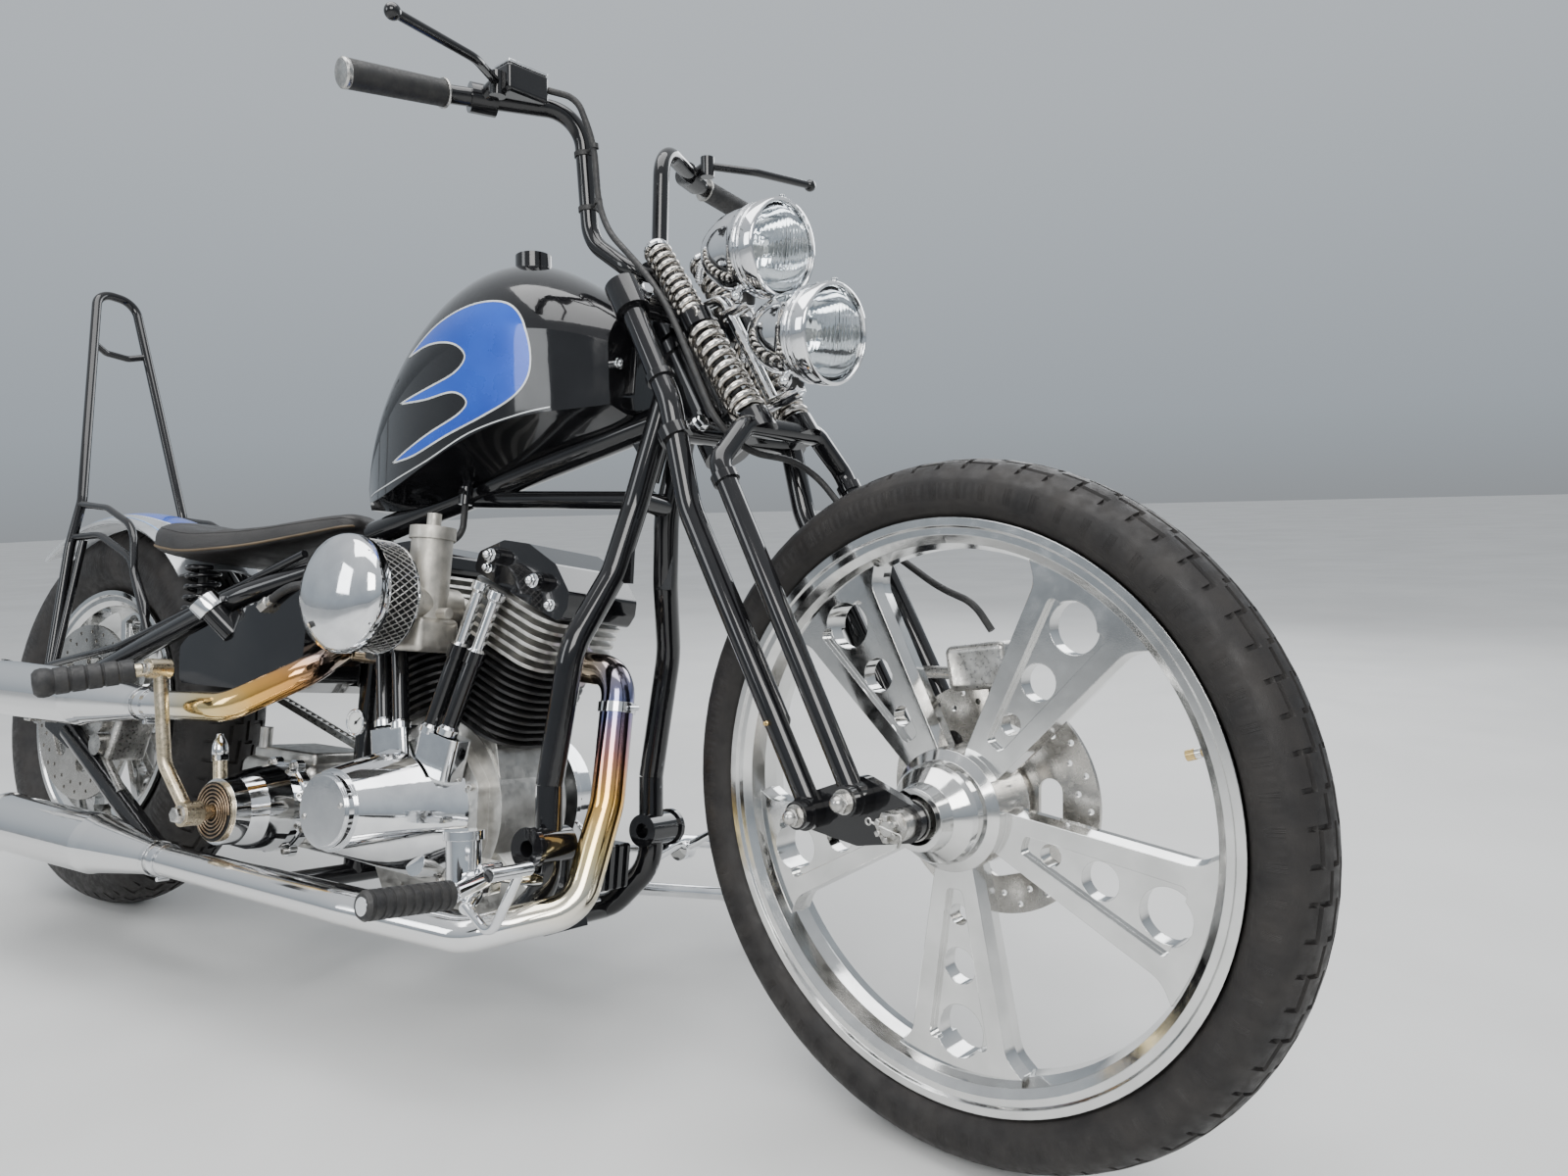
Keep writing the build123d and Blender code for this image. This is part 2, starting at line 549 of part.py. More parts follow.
# Exhaust routes by their corners: x, y, z, and the bends between their runs
FRONT_PIPE = [(1016, -19, 458), (1098, -30, 452), (1111, -52, 300), (1117, -98, 186),
              (1020, -172, 152), (840, -196, 158), (470, -200, 161)]
FRONT_BENDS = [38, 90, 44, 60, 200]
REAR_PIPE = [(658, -19, 458), (628, -62, 462), (650, -128, 428), (572, -190, 372), (392, -198, 364)]
REAR_BENDS = [26, 40, 60]
PIPE_RADIUS = 20
SILENCER = [(0, 0), (24, 0), (24, 8), (22, 9), (38, 130), (42, 150), (42, 400), (44, 402), (44, 410),
            (26, 430), (26, 470), (0, 470)]


def exhausts():
    for name, route, bends, axis in (
            ("exhaust_front", FRONT_PIPE, FRONT_BENDS, (-1, -0.01, -0.003)),
            ("exhaust_rear", REAR_PIPE, REAR_BENDS, (-1, -0.02, -0.004))):
        muffler = turned(SILENCER, route[-1], axis)
        end = Vector(*route[-1]) + Vector(*axis).normalized() * 440
        muffler -= rod(end, end + Vector(*axis) * 60, 22)
        leaving = (Vector(*route[1]) - Vector(*route[0])).normalized()
        flange = rod(route[0], Vector(*route[0]) + leaving * 8, 27)
        solid = fuse(pipe(route, PIPE_RADIUS, bends), muffler, flange)
        keep(name, "frame", clear_of(solid, "cylinder_heads"))


def transmission():
    x, _, z = KICK_SHAFT
    box = block((x - 38, -4, z + 2), (168, 130, 118), round_edges=14)
    box += block((x - 38, -4, z + 66), (142, 104, 20), round_edges=6)
    box += rod((x - 88, -52, z + 74), (x - 88, -52, z + 104), 9)
    keep("gearbox", "frame", clear_of(box, "gearbox_sprocket"))
    flange_outline = Circle(62)
    for number in range(8):
        flange_outline += Rot(0, 0, 22.5 + 45 * number) * Pos(62, 0) * Circle(10)
    plane = Plane(origin=(x, -69.2, z), x_dir=(1, 0, 0), z_dir=(0, -1, 0))
    cover = extrude(plane * flange_outline, 12)
    cover += turned([(0, 10), (58, 10), (60, 30), (54, 62), (46, 84), (44, 104), (0, 104)],
                    (x, -69.2, z), (0, -1, 0))
    keep("kicker_cover", "frame", clear_of(cover, "gearbox"))
    spiral = [(9, 0), (40, 0)]
    for number in range(5):
        outer = 40 - 6 * number
        spiral += [(outer, 5), (outer - 3, 5), (outer - 3, 2.5), (outer - 6, 2.5)]
    spiral += [(9, 2.5)]
    arm = pipe([(x, -212, z), (x - 42, -226, z + 62), (x - 56, -238, z + 190)], 8.5, 40)
    peg = rod((x - 56, -246, z + 186), (x - 104, -366, z + 160), 9)
    starter = fuse(
        turned(spiral, (x, -173.4, z), (0, -1, 0)),
        rod((x, -173.4, z), (x, -206, z), 9.5),
        rod((x, -198, z), (x, -222, z), 16), arm,
        rod((x - 56, -226, z + 186), (x - 56, -254, z + 186), 13), peg)
    keep("kick_starter", "frame", starter)
    sleeve = rod((x - 64, -266, z + 182), (x - 103, -364, z + 160), 15, 13)
    keep("kick_rubber", "frame", clear_of(sleeve, "kick_starter"))

    turn = math.degrees(math.atan2(CRANK[2] - z, CRANK[0] - x))
    middle = Pos((CRANK[0] + x) / 2, (CRANK[2] + z) / 2) * Rot(0, 0, turn)
    lip = SlotCenterToCenter(CRANK[0] - x, 196)
    body = SlotCenterToCenter(CRANK[0] - x, 184)
    case = extrude(Plane.XZ.offset(-112) * (middle * lip), 8)
    case += extrude(Plane.XZ.offset(-142) * (middle * body), 32)
    case += rod((x, 141, z), (x, 148, z), 58) + rod((x, 147, z), (x, 151, z), 50)
    case += rod((CRANK[0], 141, CRANK[2]), (CRANK[0], 146, CRANK[2]), 40)
    case += rod((CRANK[0], 59, CRANK[2]), (CRANK[0], 106, CRANK[2]), 26)
    keep("primary_cover", "frame", clear_of(case, "engine_crankcase", "frame_rails"))


# Tank stations. Columns: x, top, half width, height of the widest point, crease half width, crease,
# bottom
TANK = [
    (596, 716, 22, 694, 18, 674, 664),
    (672, 872, 66, 770, 62, 672, 660),
    (770, 962, 98, 830, 90, 698, 676),
    (880, 992, 116, 862, 100, 740, 712),
    (1000, 950, 112, 864, 96, 764, 744),
    (1079, 906, 78, 850, 66, 776, 768),
]
# Seat stations. Columns: x, half width, bottom, top
SEAT = [
    (196, 112, 600, 650), (250, 138, 580, 642), (330, 140, 574, 628), (420, 98, 590, 634),
    (500, 56, 614, 652), (572, 26, 636, 662),
]


def tank_section(x, top, half, mid, crease_half, crease, bottom):
    """One closed outline across the tank: domed top, tucked side and sloping underside."""
    shoulder = (half * 0.74, mid + (top - mid) * 0.72)
    outline = (
        ThreePointArc((-half, mid), (-shoulder[0], shoulder[1]), (0, top))
        + ThreePointArc((0, top), shoulder, (half, mid))
        + Line((half, mid), (crease_half, crease))
        + Line((crease_half, crease), (14, bottom))
        + Line((14, bottom), (-14, bottom))
        + Line((-14, bottom), (-crease_half, crease))
        + Line((-crease_half, crease), (-half, mid)))
    return Plane(origin=(x, 0, 0), x_dir=(0, 1, 0), z_dir=(1, 0, 0)) * make_face(outline)


def seat_and_tanks():
    tank = loft([tank_section(*row) for row in TANK])
    tank -= rod((1160, 0, 784), (560, 0, 622), 21)
    tank = clear_of(tank, "frame_backbone")
    tank += rod((905, -34, 960), (902, -36, 996), 24)
    for y in (-30, 30):
        tank += block((1064, y, 826), (46, 5, 60), round_edges=2)
    tank += rod((812, -22, 712), (812, -40, 676), 7)
    tank += rod((812, -34, 688), (812, -34, 664), 9)
    keep("fuel_tank", "frame", clear_of(tank, "frame_backbone", "frame_downtubes", "rocker_boxes"))

    oil = slab([(338, 392), (330, 446), (350, 462), (452, 500), (596, 540), (622, 520), (622, 412),
                (560, 392)], 122, -122, rounding=14)
    oil -= rod((612, 0, 380), (612, 0, 560), 18)
    oil -= block((640, 0, 460), (80, 60, 240))
    oil -= pipe(REAR_PIPE, PIPE_RADIUS + 6, REAR_BENDS)
    oil += rod((446, -112, 470), (420, -138, 506), 17) + rod((424, -134, 501), (412, -146, 517), 21)
    keep("oil_tank", "frame", clear_of(oil, "frame_stays", "frame_backbone"))

    sections = []
    for x, half, bottom, top in reversed(SEAT):
        plane = Plane(origin=(x, 0, (bottom + top) / 2), x_dir=(0, 1, 0), z_dir=(-1, 0, 0))
        sections.append(plane * RectangleRounded(half * 2, top - bottom, (top - bottom) * 0.42))
    cushion = loft(sections) - disc(REAR_AXLE, 354, 170)
    keep("seat", "frame", clear_of(cushion, "frame_stays", "frame_backbone"))
    springs = []
    for y in (-74, 74):
        spring = coil((290, y, 470), (290, y, 576), 27, 5, 6, 12)
        springs.append(clear_of(spring, "frame_stays", "seat", "oil_tank"))
    keep("seat_springs", "frame", *springs)


def rear_guard():
    inner, outer, half = 344, 348, 76
    profile = (
        ThreePointArc((outer - 24, -half), (outer, 0), (outer - 24, half))
        + Line((outer - 24, half), (inner - 24, half - 3))
        + ThreePointArc((inner - 24, half - 3), (inner, 0), (inner - 24, 3 - half))
        + Line((inner - 24, 3 - half), (outer - 24, -half)))
    shell = revolve(make_face(Plane.XZ * profile), Axis.Z, revolution_arc=82)
    shell = Plane(origin=REAR_AXLE, x_dir=(1, 0, 0), z_dir=(0, 1, 0)) * shell
    keep("rear_fender", "frame", shell.rotate(Axis(REAR_AXLE, (0, 1, 0)), -128))

    arch = pipe([(-46, -118, 398), (-58, -104, 600), (-68, -88, 682), (-212, -34, 1092), (-212, 34, 1092),
                 (-68, 88, 682), (-58, 104, 600), (-46, 118, 398)], 8, [80, 60, 32, 32, 60, 80])
    crosspiece = pipe([(-176, -44, 985), (-186, -20, 976), (-186, 20, 976), (-176, 44, 985)], 6, 16)
    side = fuse(
        pipe([(-70, -90, 676), (20, -90, 668), (112, -92, 634), (136, -98, 560), (226, -112, 458)],
             6, [60, 60, 40]),
        pipe([(-60, -100, 616), (10, -92, 622), (110, -92, 584), (196, -104, 500), (216, -114, 452)],
             6, [60, 80, 60]),
        rod((-40, -92, 612), (-36, -116, 400), 6),
        pipe([(-44, -120, 398), (174, -124, 440), (556, -88, 590)], 6, 120))
    bar = fuse(arch, crosspiece, side, mirror(side, about=Plane.XZ))
    keep("sissy_bar", "frame", clear_of(bar, "frame_stays", "frame_rails", "seat", "rear_fender",
                                        "frame_backbone"))


def foot_controls():
    arm = pipe([(1066, -104, 212), (1062, -170, 226), (1078, -250, 218)], 9, 40)
    master = rod((1040, -196, 200), (1033, -196, 262), 19) + rod((1033, -196, 262), (1032, -196, 272), 22)
    master += block((1042, -176, 220), (36, 36, 36), round_edges=5)
    lever = pipe([(1060, -214, 200), (1110, -222, 176), (1148, -226, 250)], 5, 18)
    lever += rod((1148, -214, 250), (1148, -270, 250), 7) + rod((1052, -190, 206), (1066, -216, 196), 8)
    right = fuse(arm, rod((1080, -246, 218), (1068, -352, 220), 9), master, lever)
    keep("foot_controls_right", "frame", clear_of(right, "frame_rails", "exhaust_front"))
    left = fuse(
        mirror(arm, about=Plane.XZ), rod((1080, 246, 218), (1068, 352, 220), 9),
        pipe([(1062, 176, 214), (1120, 186, 250), (1168, 190, 300)], 6, 40),
        rod((1168, 180, 300), (1168, 250, 300), 7), rod((1062, 168, 214), (1062, 190, 214), 14),
        rod((1052, 180, 214), (642, 158, 156), 5))
    keep("foot_controls_left", "frame", clear_of(left, "frame_rails", "primary_cover"))
    rubbers = []
    for side, controls in ((-1, "foot_controls_right"), (1, "foot_controls_left")):
        ribs = [point for number in range(9) for point in (
            (15, 10.4 * number), (15, 10.4 * number + 6.4), (13.4, 10.4 * number + 7),
            (13.4, 10.4 * number + 9.8))]
        sleeve = turned([(5, 0)] + ribs + [(15, 94), (12, 98), (5, 98)], (1079, side * 254, 218.1),
                        (-0.12, side, 0.02))
        rubbers.append(clear_of(sleeve, controls))
    keep("foot_rubbers", "frame", *rubbers)
    box = block((1048, 0, 208), (34, 120, 56), round_edges=4)
    for number in range(7):
        box -= block((1068, -48 + 16 * number, 208), (14, 8, 80))
    keep("regulator", "frame", clear_of(box + block((1020, 0, 190), (30, 40, 60)),
                                         "frame_crossmembers"))

    caliper = block((132, -84, 300), (62, 62, 76), 20, round_edges=8)
    caliper -= disc(REAR_AXLE + Vector(0, REAR_DISC_Y, 0), 150, 12)
    caliper += rod((132, -112, 318), (132, -126, 318), 17) + rod((132, -112, 282), (132, -126, 282), 17)
    arm = slab([(-20, 304), (-20, 344), (100, 336), (110, 290)], -102, -112.6)
    rear = fuse(caliper, arm, rod((120, -108, 268), (214, -120, 214), 8))
    keep("rear_brake_caliper", "frame", clear_of(rear, "rear_axle", "frame_rails", "frame_stays",
                                                 "sissy_bar"))


# Springer fork. Columns: height along the steering axis, distance ahead of it
REAR_LEG = [(4, -12), (360, -5), (480, 31), (622, 35)]
FRONT_LEG = [(-10, 50), (372, 66)]
LEG_Y = 98
FRONT_LEG_Y = 107
SPRING_Y = 38
SPRING_LOW = (432, 80)
SPRING_LUG = (574, 68)
SPRING_TOP = (700, 58)
ROCKER_INNER, ROCKER_OUTER = 86, 98
REAR_PIVOT = (2, -14)
FRONT_PIVOT = (-10, 50)
# Columns: height and distance ahead of a collar's foot, its radius and its height
LEG_COLLARS = [(436, 18, 19, 14), (508, 32, 17, 8), (606, 34.6, 21, 40)]


def fork():
    rear_pivot, front_pivot = steer_point(*REAR_PIVOT), steer_point(*FRONT_PIVOT)
    rocker = link_plate([(rear_pivot.X, rear_pivot.Z, 19), (front_pivot.X, front_pivot.Z, 20),
                         (FRONT_AXLE.X, FRONT_AXLE.Z, 19), (front_pivot.X - 6, front_pivot.Z - 34, 14)],
                        -ROCKER_INNER, -ROCKER_OUTER)
    rocker = rocker - disc(FRONT_AXLE, 9.6, 400)
    keep("fork_rockers", "steering", *pair(rocker))

    flat = block((FRONT_AXLE.X - 60, -79.1, FRONT_AXLE.Z), (240, 38.2, 110), RAKE)
    leg = pipe([steer_point(along, ahead, -LEG_Y) for along, ahead in REAR_LEG], 14, [90, 90]) - flat
    leg += rod(rear_pivot + SIDEWAYS * -98.2, rear_pivot + SIDEWAYS * -113, 17)
    leg += rod(rear_pivot + SIDEWAYS * -112, rear_pivot + SIDEWAYS * -124, 14)
    for along, ahead, radius, height in LEG_COLLARS:
        base = steer_point(along, ahead, -LEG_Y)
        leg += rod(base, base + STEER_AXIS * height, radius)
    stem = rod(steer_point(446, 0), steer_point(664, 0), 12.5)
    stem += rod(steer_point(648, 0), steer_point(662, 0), 17)
    upper = rod(steer_point(626, 30, -LEG_Y), steer_point(626, 30, LEG_Y), 15)
    upper += rod(steer_point(614, 0), steer_point(644, 0), 20)
    upper += rod(steer_point(626, 0), steer_point(626, 34), 17)
    lug_along, lug_ahead = SPRING_LUG
    for side in (-1, 1):
        upper += rod(steer_point(626, 30, side * SPRING_Y), steer_point(*SPRING_LUG, side * SPRING_Y), 13)
        low_lug = steer_point(lug_along - 10, lug_ahead + 1, side * SPRING_Y)
        upper += rod(low_lug, low_lug + STEER_AXIS * 20, 20)
    lower = rod(steer_point(448, 21, -LEG_Y), steer_point(448, 21, LEG_Y), 14)
    lower += rod(steer_point(436, 0), steer_point(464, 0), 30)
    lower += rod(steer_point(449, 0), steer_point(449, 24), 18)
    rigid = fuse(leg, mirror(leg, about=Plane.XZ), stem, upper, lower)
    keep("fork_rear_legs", "steering", rigid)

    front = pipe([steer_point(*FRONT_LEG[0], -FRONT_LEG_Y), steer_point(*FRONT_LEG[1], -FRONT_LEG_Y),
                  steer_point(412, 84, -62), steer_point(412, 84, 62),
                  steer_point(*FRONT_LEG[1], FRONT_LEG_Y), steer_point(*FRONT_LEG[0], FRONT_LEG_Y)],
                 12, [24, 22, 22, 24])
    front = front - flat - mirror(flat, about=Plane.XZ)
    for side in (-1, 1):
        eye = front_pivot + SIDEWAYS * side * 98.2
        front += rod(eye, eye + SIDEWAYS * side * 16, 17)
        front += rod(eye + SIDEWAYS * side * 15, eye + SIDEWAYS * side * 27, 15)
        perch = steer_point(404, 83, side * SPRING_Y)
        front += rod(perch, perch + STEER_AXIS * 26, 21, 19)
        collar = steer_point(346, 65, side * FRONT_LEG_Y)
        front += rod(collar, collar + STEER_AXIS * 10, 15)
    keep("fork_front_legs", "steering", clear_of(front, "fork_rear_legs"))

    springs = []
    for y in (-SPRING_Y, SPRING_Y):
        under = steer_point(lug_along - 11, lug_ahead + 1, y)
        over = steer_point(lug_along + 12, lug_ahead - 1, y)
        top = steer_point(*SPRING_TOP, y)
        cap = rod(top, top + STEER_AXIS * 10, 10, 6)
        springs.append(coil(steer_point(*SPRING_LOW, y), under, 20, 4.5, 9, 9))
        springs.append(coil(over, top, 16, 4, 9, 7) + cap)
    keep("fork_springs", "steering", *[
        max((spring - rigid - parts["fork_front_legs"]).solids(), key=lambda piece: piece.volume)
        for spring in springs])
    axle = rod(FRONT_AXLE + SIDEWAYS * -126, FRONT_AXLE + SIDEWAYS * 126, 9.5)
    for side in (-1, 1):
        axle += rod(FRONT_AXLE + SIDEWAYS * side * 98.2, FRONT_AXLE + SIDEWAYS * side * 116, 15)
    axle += rod(FRONT_AXLE + SIDEWAYS * -85.8, FRONT_AXLE + SIDEWAYS * -67, 20)
    axle += rod(FRONT_AXLE + SIDEWAYS * 66, FRONT_AXLE + SIDEWAYS * 85.8, 20)
    keep("front_axle", "steering", axle)


# Headlamps. Columns: rim's centre by height along the steering axis and distance ahead, then the back's
LAMPS = [(588, 193, 661, 97), (456, 202, 526, 112)]
# Columns: radius, distance from the back
LAMP_SHELL = [(0, 0), (16, 2), (30, 12), (41, 30), (49, 58), (51, 78), (53, 80), (53, 100), (56, 102),
              (56, 116), (52, 119), (50, 116), (50, 106), (0, 106)]
LAMP_LENS = [(0, 106.3), (49.7, 106.3), (49.7, 115), (36, 121), (0, 124)]
BAR_RIGHT = [(949, -335, 1140), (951, -215, 1157), (1022, -68, 1160), (1027, -58, 1000), (1096, -46, 950)]


def cockpit():
    bar_left = [(x, -y, z) for x, y, z in reversed(BAR_RIGHT)]
    bar = fuse(
        pipe(BAR_RIGHT + bar_left, 11, [90, 46, 46, 24, 24, 46, 46, 90]),
        rod((1096, -26, 950), (1096, 26, 950), 18), rod(steer_point(640, 8), (1096, 0, 950), 15))
    keep("handlebar", "steering", clear_of(bar, "fork_rear_legs"))
    grip = clear_of(rod((949, -337, 1139.7), (951, -218, 1156.6), 16.5, 15.5), "handlebar")
    keep("hand_grips", "steering", *pair(grip))

    lever = pipe([(1000, -176, 1168), (1042, -232, 1164), (1056, -338, 1170)], 5.5, 40)
    side = fuse(
        lever, Pos(1056, -340, 1170) * Sphere(9), rod((1000, -176, 1152), (1000, -176, 1180), 10),
        rod((962, -190, 1158), (972, -160, 1158.5), 18), rod((970, -176, 1158), (1000, -176, 1166), 10))
    reservoir = block((1006, -146, 1172), (34, 58, 34), round_edges=5)
    controls = [clear_of(fuse(side, reservoir), "handlebar", "hand_grips"),
                clear_of(mirror(side, about=Plane.XZ), "handlebar", "hand_grips")]
    keep("hand_controls", "steering", *controls)

    shells, lenses = [], []
    for rim_along, rim_ahead, back_along, back_ahead in LAMPS:
        rim = steer_point(rim_along, rim_ahead)
        axis = (rim - steer_point(back_along, back_ahead)).normalized()
        below = Vector(axis.Z, 0, -axis.X)
        back = rim - axis * 116
        foot = back + axis * 62 + below * 44
        shells.append(fuse(turned(LAMP_SHELL, back, axis), rod(foot, foot + below * 16, 9)))
        lenses.append(turned(LAMP_LENS, back, axis))
    keep("headlamp_shells", "steering", *shells)
    keep("headlamp_lenses", "steering", *lenses)
    mast = pipe([steer_point(626, 34), steer_point(602, 90), steer_point(440, 92)], 7, 20)
    arms = fuse(
        mast, rod(steer_point(580, 84), steer_point(569, 122), 8),
        rod(steer_point(446, 86), steer_point(433, 132), 8))
    keep("headlamp_bracket", "steering", clear_of(arms, "fork_rear_legs", "headlamp_shells"))

    caliper = block((1530, 62, 482), (72, 52, 48), -8, round_edges=8)
    caliper -= disc(FRONT_AXLE + SIDEWAYS * FRONT_DISC_Y, 124, 11)
    caliper += rod((1512, 84, 482), (1512, 96, 482), 16) + rod((1546, 84, 482), (1546, 96, 482), 16)
    brake = fuse(
        caliper, slab([(1524, 340), (1550, 340), (1544, 466), (1510, 466)], 82, 72),
        rod((1500, 78, 470), (1400, 96, 466), 7))
    keep("front_brake_caliper", "steering", clear_of(brake, "fork_rear_legs", "fork_front_legs",
                                                     "fork_rockers", "front_axle"))


# Front brake hose, from the reservoir on the bar to the caliper. First its corners on the bar: x, y, z
HOSE_AT_BAR = [(1016, -114, 1175), (1042, -90, 1166), (1055, -74, 1112), (1060, -70, 1014)]
# Then down the fork. Columns: height along the steering axis, distance ahead of it, y
HOSE_AT_FORK = [(622, 62, -67), (404, 51, -66), (396, 51, 70), (300, 64, 84), (176, 128, 82),
                (138, 160, 78), (102, 164, 78)]


def brake_hose():
    points = [Vector(*corner) for corner in HOSE_AT_BAR]
    points += [steer_point(*corner) for corner in HOSE_AT_FORK]
    radii = cord_radii(points)
    print("brake_hose radii", radii)
    hose = pipe(points, 4, radii)
    print("brake_hose length", round(hose.volume / (math.pi * 16)))
    keep("brake_hose", "steering", clear_of(hose, "hand_controls", "front_brake_caliper"))


# Side stand: hinged beside the left frame rail, its foot out to the left
STAND_PIVOT = Vector(1004, 132, 160)
STAND_ELBOW = Vector(1088, 258, 146)
STAND_FOOT = Vector(1126, 345, 65.2)
STAND_AXIS = Vector(0.114, 0.294, 0.949)


def side_stand():
    through = rod(STAND_PIVOT - STAND_AXIS * 20, STAND_PIVOT + STAND_AXIS * 20, 6.3)
    leg = pipe([STAND_PIVOT, STAND_ELBOW, STAND_FOOT + Vector(0, 0, 10)], 9, 50)
    pad = Pos(*STAND_FOOT) * Rot(LEAN, 0, 0) * Pos(0, 0, 4) * fillet(
        Box(64, 46, 8).edges().filter_by(Axis.Z), 14)
    barrel = rod(STAND_PIVOT - STAND_AXIS * 11, STAND_PIVOT + STAND_AXIS * 11, 14)
    keep("side_stand", "side_stand", fuse(leg, pad, barrel) - through)
    bracket = rod(STAND_PIVOT - STAND_AXIS * 20, STAND_PIVOT + STAND_AXIS * 20, 6)
    for side in (-1, 1):
        ear = STAND_PIVOT + STAND_AXIS * side * 15.5
        bracket += rod(ear - STAND_AXIS * 3, ear + STAND_AXIS * 3, 14)
        bracket += rod(ear, ear + Vector(7, -29.4, 8.3), 4)
    bracket += rod((1010, 100, 134), (1010, 104, 188), 8)
    keep("stand_bracket", "frame", clear_of(bracket, "frame_rails"))


def place(shape, body):
    """Turns what steers, then leans the motorcycle on its stand."""
    if body in ("steering", "front_wheel"):
        shape = shape.rotate(Axis(STEER_POINT, STEER_AXIS), STEER_AT_REST)
    return shape.rotate(Axis.Y, PITCH).rotate(Axis.X, -LEAN)


wheels()
frame_tubes()
final_drive()
engine()
intake()
exhausts()
transmission()
seat_and_tanks()
rear_guard()
foot_controls()
fork()
cockpit()
brake_hose()
side_stand()

placed = {name: place(shape, body_of[name]) for name, shape in parts.items()}
boxes = [shape.bounding_box() for shape in placed.values()]
low = Vector(*(min(getattr(box.min, axis) for box in boxes) for axis in ("X", "Y", "Z")))
high = Vector(*(max(getattr(box.max, axis) for box in boxes) for axis in ("X", "Y", "Z")))
origin = Vector((low.X + high.X) / 2, (low.Y + high.Y) / 2, low.Z)
for name, shape in placed.items():
    export_step(shape.translate(-origin), "parts/" + name + ".step")


def final_point(point, body):
    placed_point = place(Vertex(*point), body).center() - origin
    return tuple(round(value / 1000, 5) for value in tuple(placed_point))


def report(label, point, direction, body="frame"):
    start = final_point(point, body)
    end = final_point(Vector(*point) + Vector(*direction) * 1000, body)
    print(label, start, tuple(round(b - a, 6) for a, b in zip(start, end)))


print("origin", tuple(round(value, 3) for value in tuple(origin)))
report("steering", STEER_POINT + STEER_AXIS * 540, STEER_AXIS)
report("front_wheel", FRONT_AXLE, SIDEWAYS, "front_wheel")
report("rear_wheel", REAR_AXLE, SIDEWAYS)
report("side_stand", STAND_PIVOT, STAND_AXIS)
report("lugs", (LUG[0], 0, LUG[2]), -SIDEWAYS)
for name, body in body_of.items():
    print("node", name, body)
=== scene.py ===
import bmesh
import bpy
import json
import math
from mathutils import Matrix, Vector, geometry, noise
from mathutils.bvhtree import BVHTree


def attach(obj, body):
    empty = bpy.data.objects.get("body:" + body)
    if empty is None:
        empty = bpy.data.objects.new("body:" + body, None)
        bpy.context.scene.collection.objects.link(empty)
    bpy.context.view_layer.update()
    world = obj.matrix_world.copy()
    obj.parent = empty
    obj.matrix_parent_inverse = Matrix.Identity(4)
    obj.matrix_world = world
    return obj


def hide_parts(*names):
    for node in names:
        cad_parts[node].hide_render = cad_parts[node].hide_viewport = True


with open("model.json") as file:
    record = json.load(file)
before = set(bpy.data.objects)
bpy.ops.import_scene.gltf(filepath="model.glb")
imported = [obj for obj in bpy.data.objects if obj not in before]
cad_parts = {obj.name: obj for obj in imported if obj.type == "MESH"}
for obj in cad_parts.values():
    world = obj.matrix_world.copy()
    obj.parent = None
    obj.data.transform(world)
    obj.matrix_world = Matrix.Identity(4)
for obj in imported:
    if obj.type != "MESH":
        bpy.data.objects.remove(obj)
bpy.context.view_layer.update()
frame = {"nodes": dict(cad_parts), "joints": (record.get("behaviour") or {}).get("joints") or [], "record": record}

# The motorcycle's own frame is upright and in millimetres: X forward, Y to its left, Z up,
# zero on the ground under the rear axle. PLACE carries it to where each body stands at rest.
WHEELBASE = 1537
FRONT_RADIUS = 346
REAR_RADIUS = 324
RAKE = math.radians(31)
STEER_AT_REST = math.radians(-12.9)
LEAN = math.radians(11.1)
PITCH = math.radians(-0.075)
CRANK = Vector((835, 0, 262))
KICK_SHAFT = Vector((545, 0, 231))
CYLINDER_LEAN = math.radians(22.5)
FRONT_AXLE = Vector((WHEELBASE, 0, FRONT_RADIUS))
REAR_AXLE = Vector((0, 0, REAR_RADIUS))
STEER_POINT = Vector((WHEELBASE - 85 / math.cos(RAKE), 0, FRONT_RADIUS))
STEER_AXIS = Vector((-math.sin(RAKE), 0, math.cos(RAKE)))
STEER_AHEAD = Vector((math.cos(RAKE), 0, math.sin(RAKE)))
LEFT = Vector((0, 1, 0))
RIGHT = Vector((0, -1, 0))
UP = Vector((0, 0, 1))

leaned = Matrix.Rotation(-LEAN, 4, "X") @ Matrix.Rotation(PITCH, 4, "Y")
joints = {joint["name"]: joint for joint in frame["joints"]}
rear_axle_now = Vector(joints["rear_wheel_spin"]["pos_m"]) * 1000
on_stand = Matrix.Scale(0.001, 4) @ Matrix.Translation(rear_axle_now - leaned @ REAR_AXLE) @ leaned
turned_bars = (Matrix.Translation(STEER_POINT) @ Matrix.Rotation(STEER_AT_REST, 4, STEER_AXIS)
               @ Matrix.Translation(-STEER_POINT))
PLACE = {"frame": on_stand, "rear_wheel": on_stand, "side_stand": on_stand,
         "steering": on_stand @ turned_bars, "front_wheel": on_stand @ turned_bars}


def steer_point(along, ahead, y=0.0):
    """A point by its height along the steering axis and its distance ahead of it."""
    return STEER_POINT + STEER_AXIS * along + STEER_AHEAD * ahead + LEFT * y


def cylinder_point(lean, distance, sideways, y):
    """A point by its distance along a cylinder's centre line and its distance across it."""
    return Vector((CRANK.x + distance * math.sin(lean) + sideways * math.cos(lean), y,
                   CRANK.z + distance * math.cos(lean) - sideways * math.sin(lean)))


# Materials

def new_material(name):
    material = bpy.data.materials.new(name)
    material.use_nodes = True
    tree = material.node_tree
    return material, tree, tree.nodes["Principled BSDF"]


def add_node(tree, kind, **values):
    node = tree.nodes.new(kind)
    for key, value in values.items():
        setattr(node, key, value)
    return node


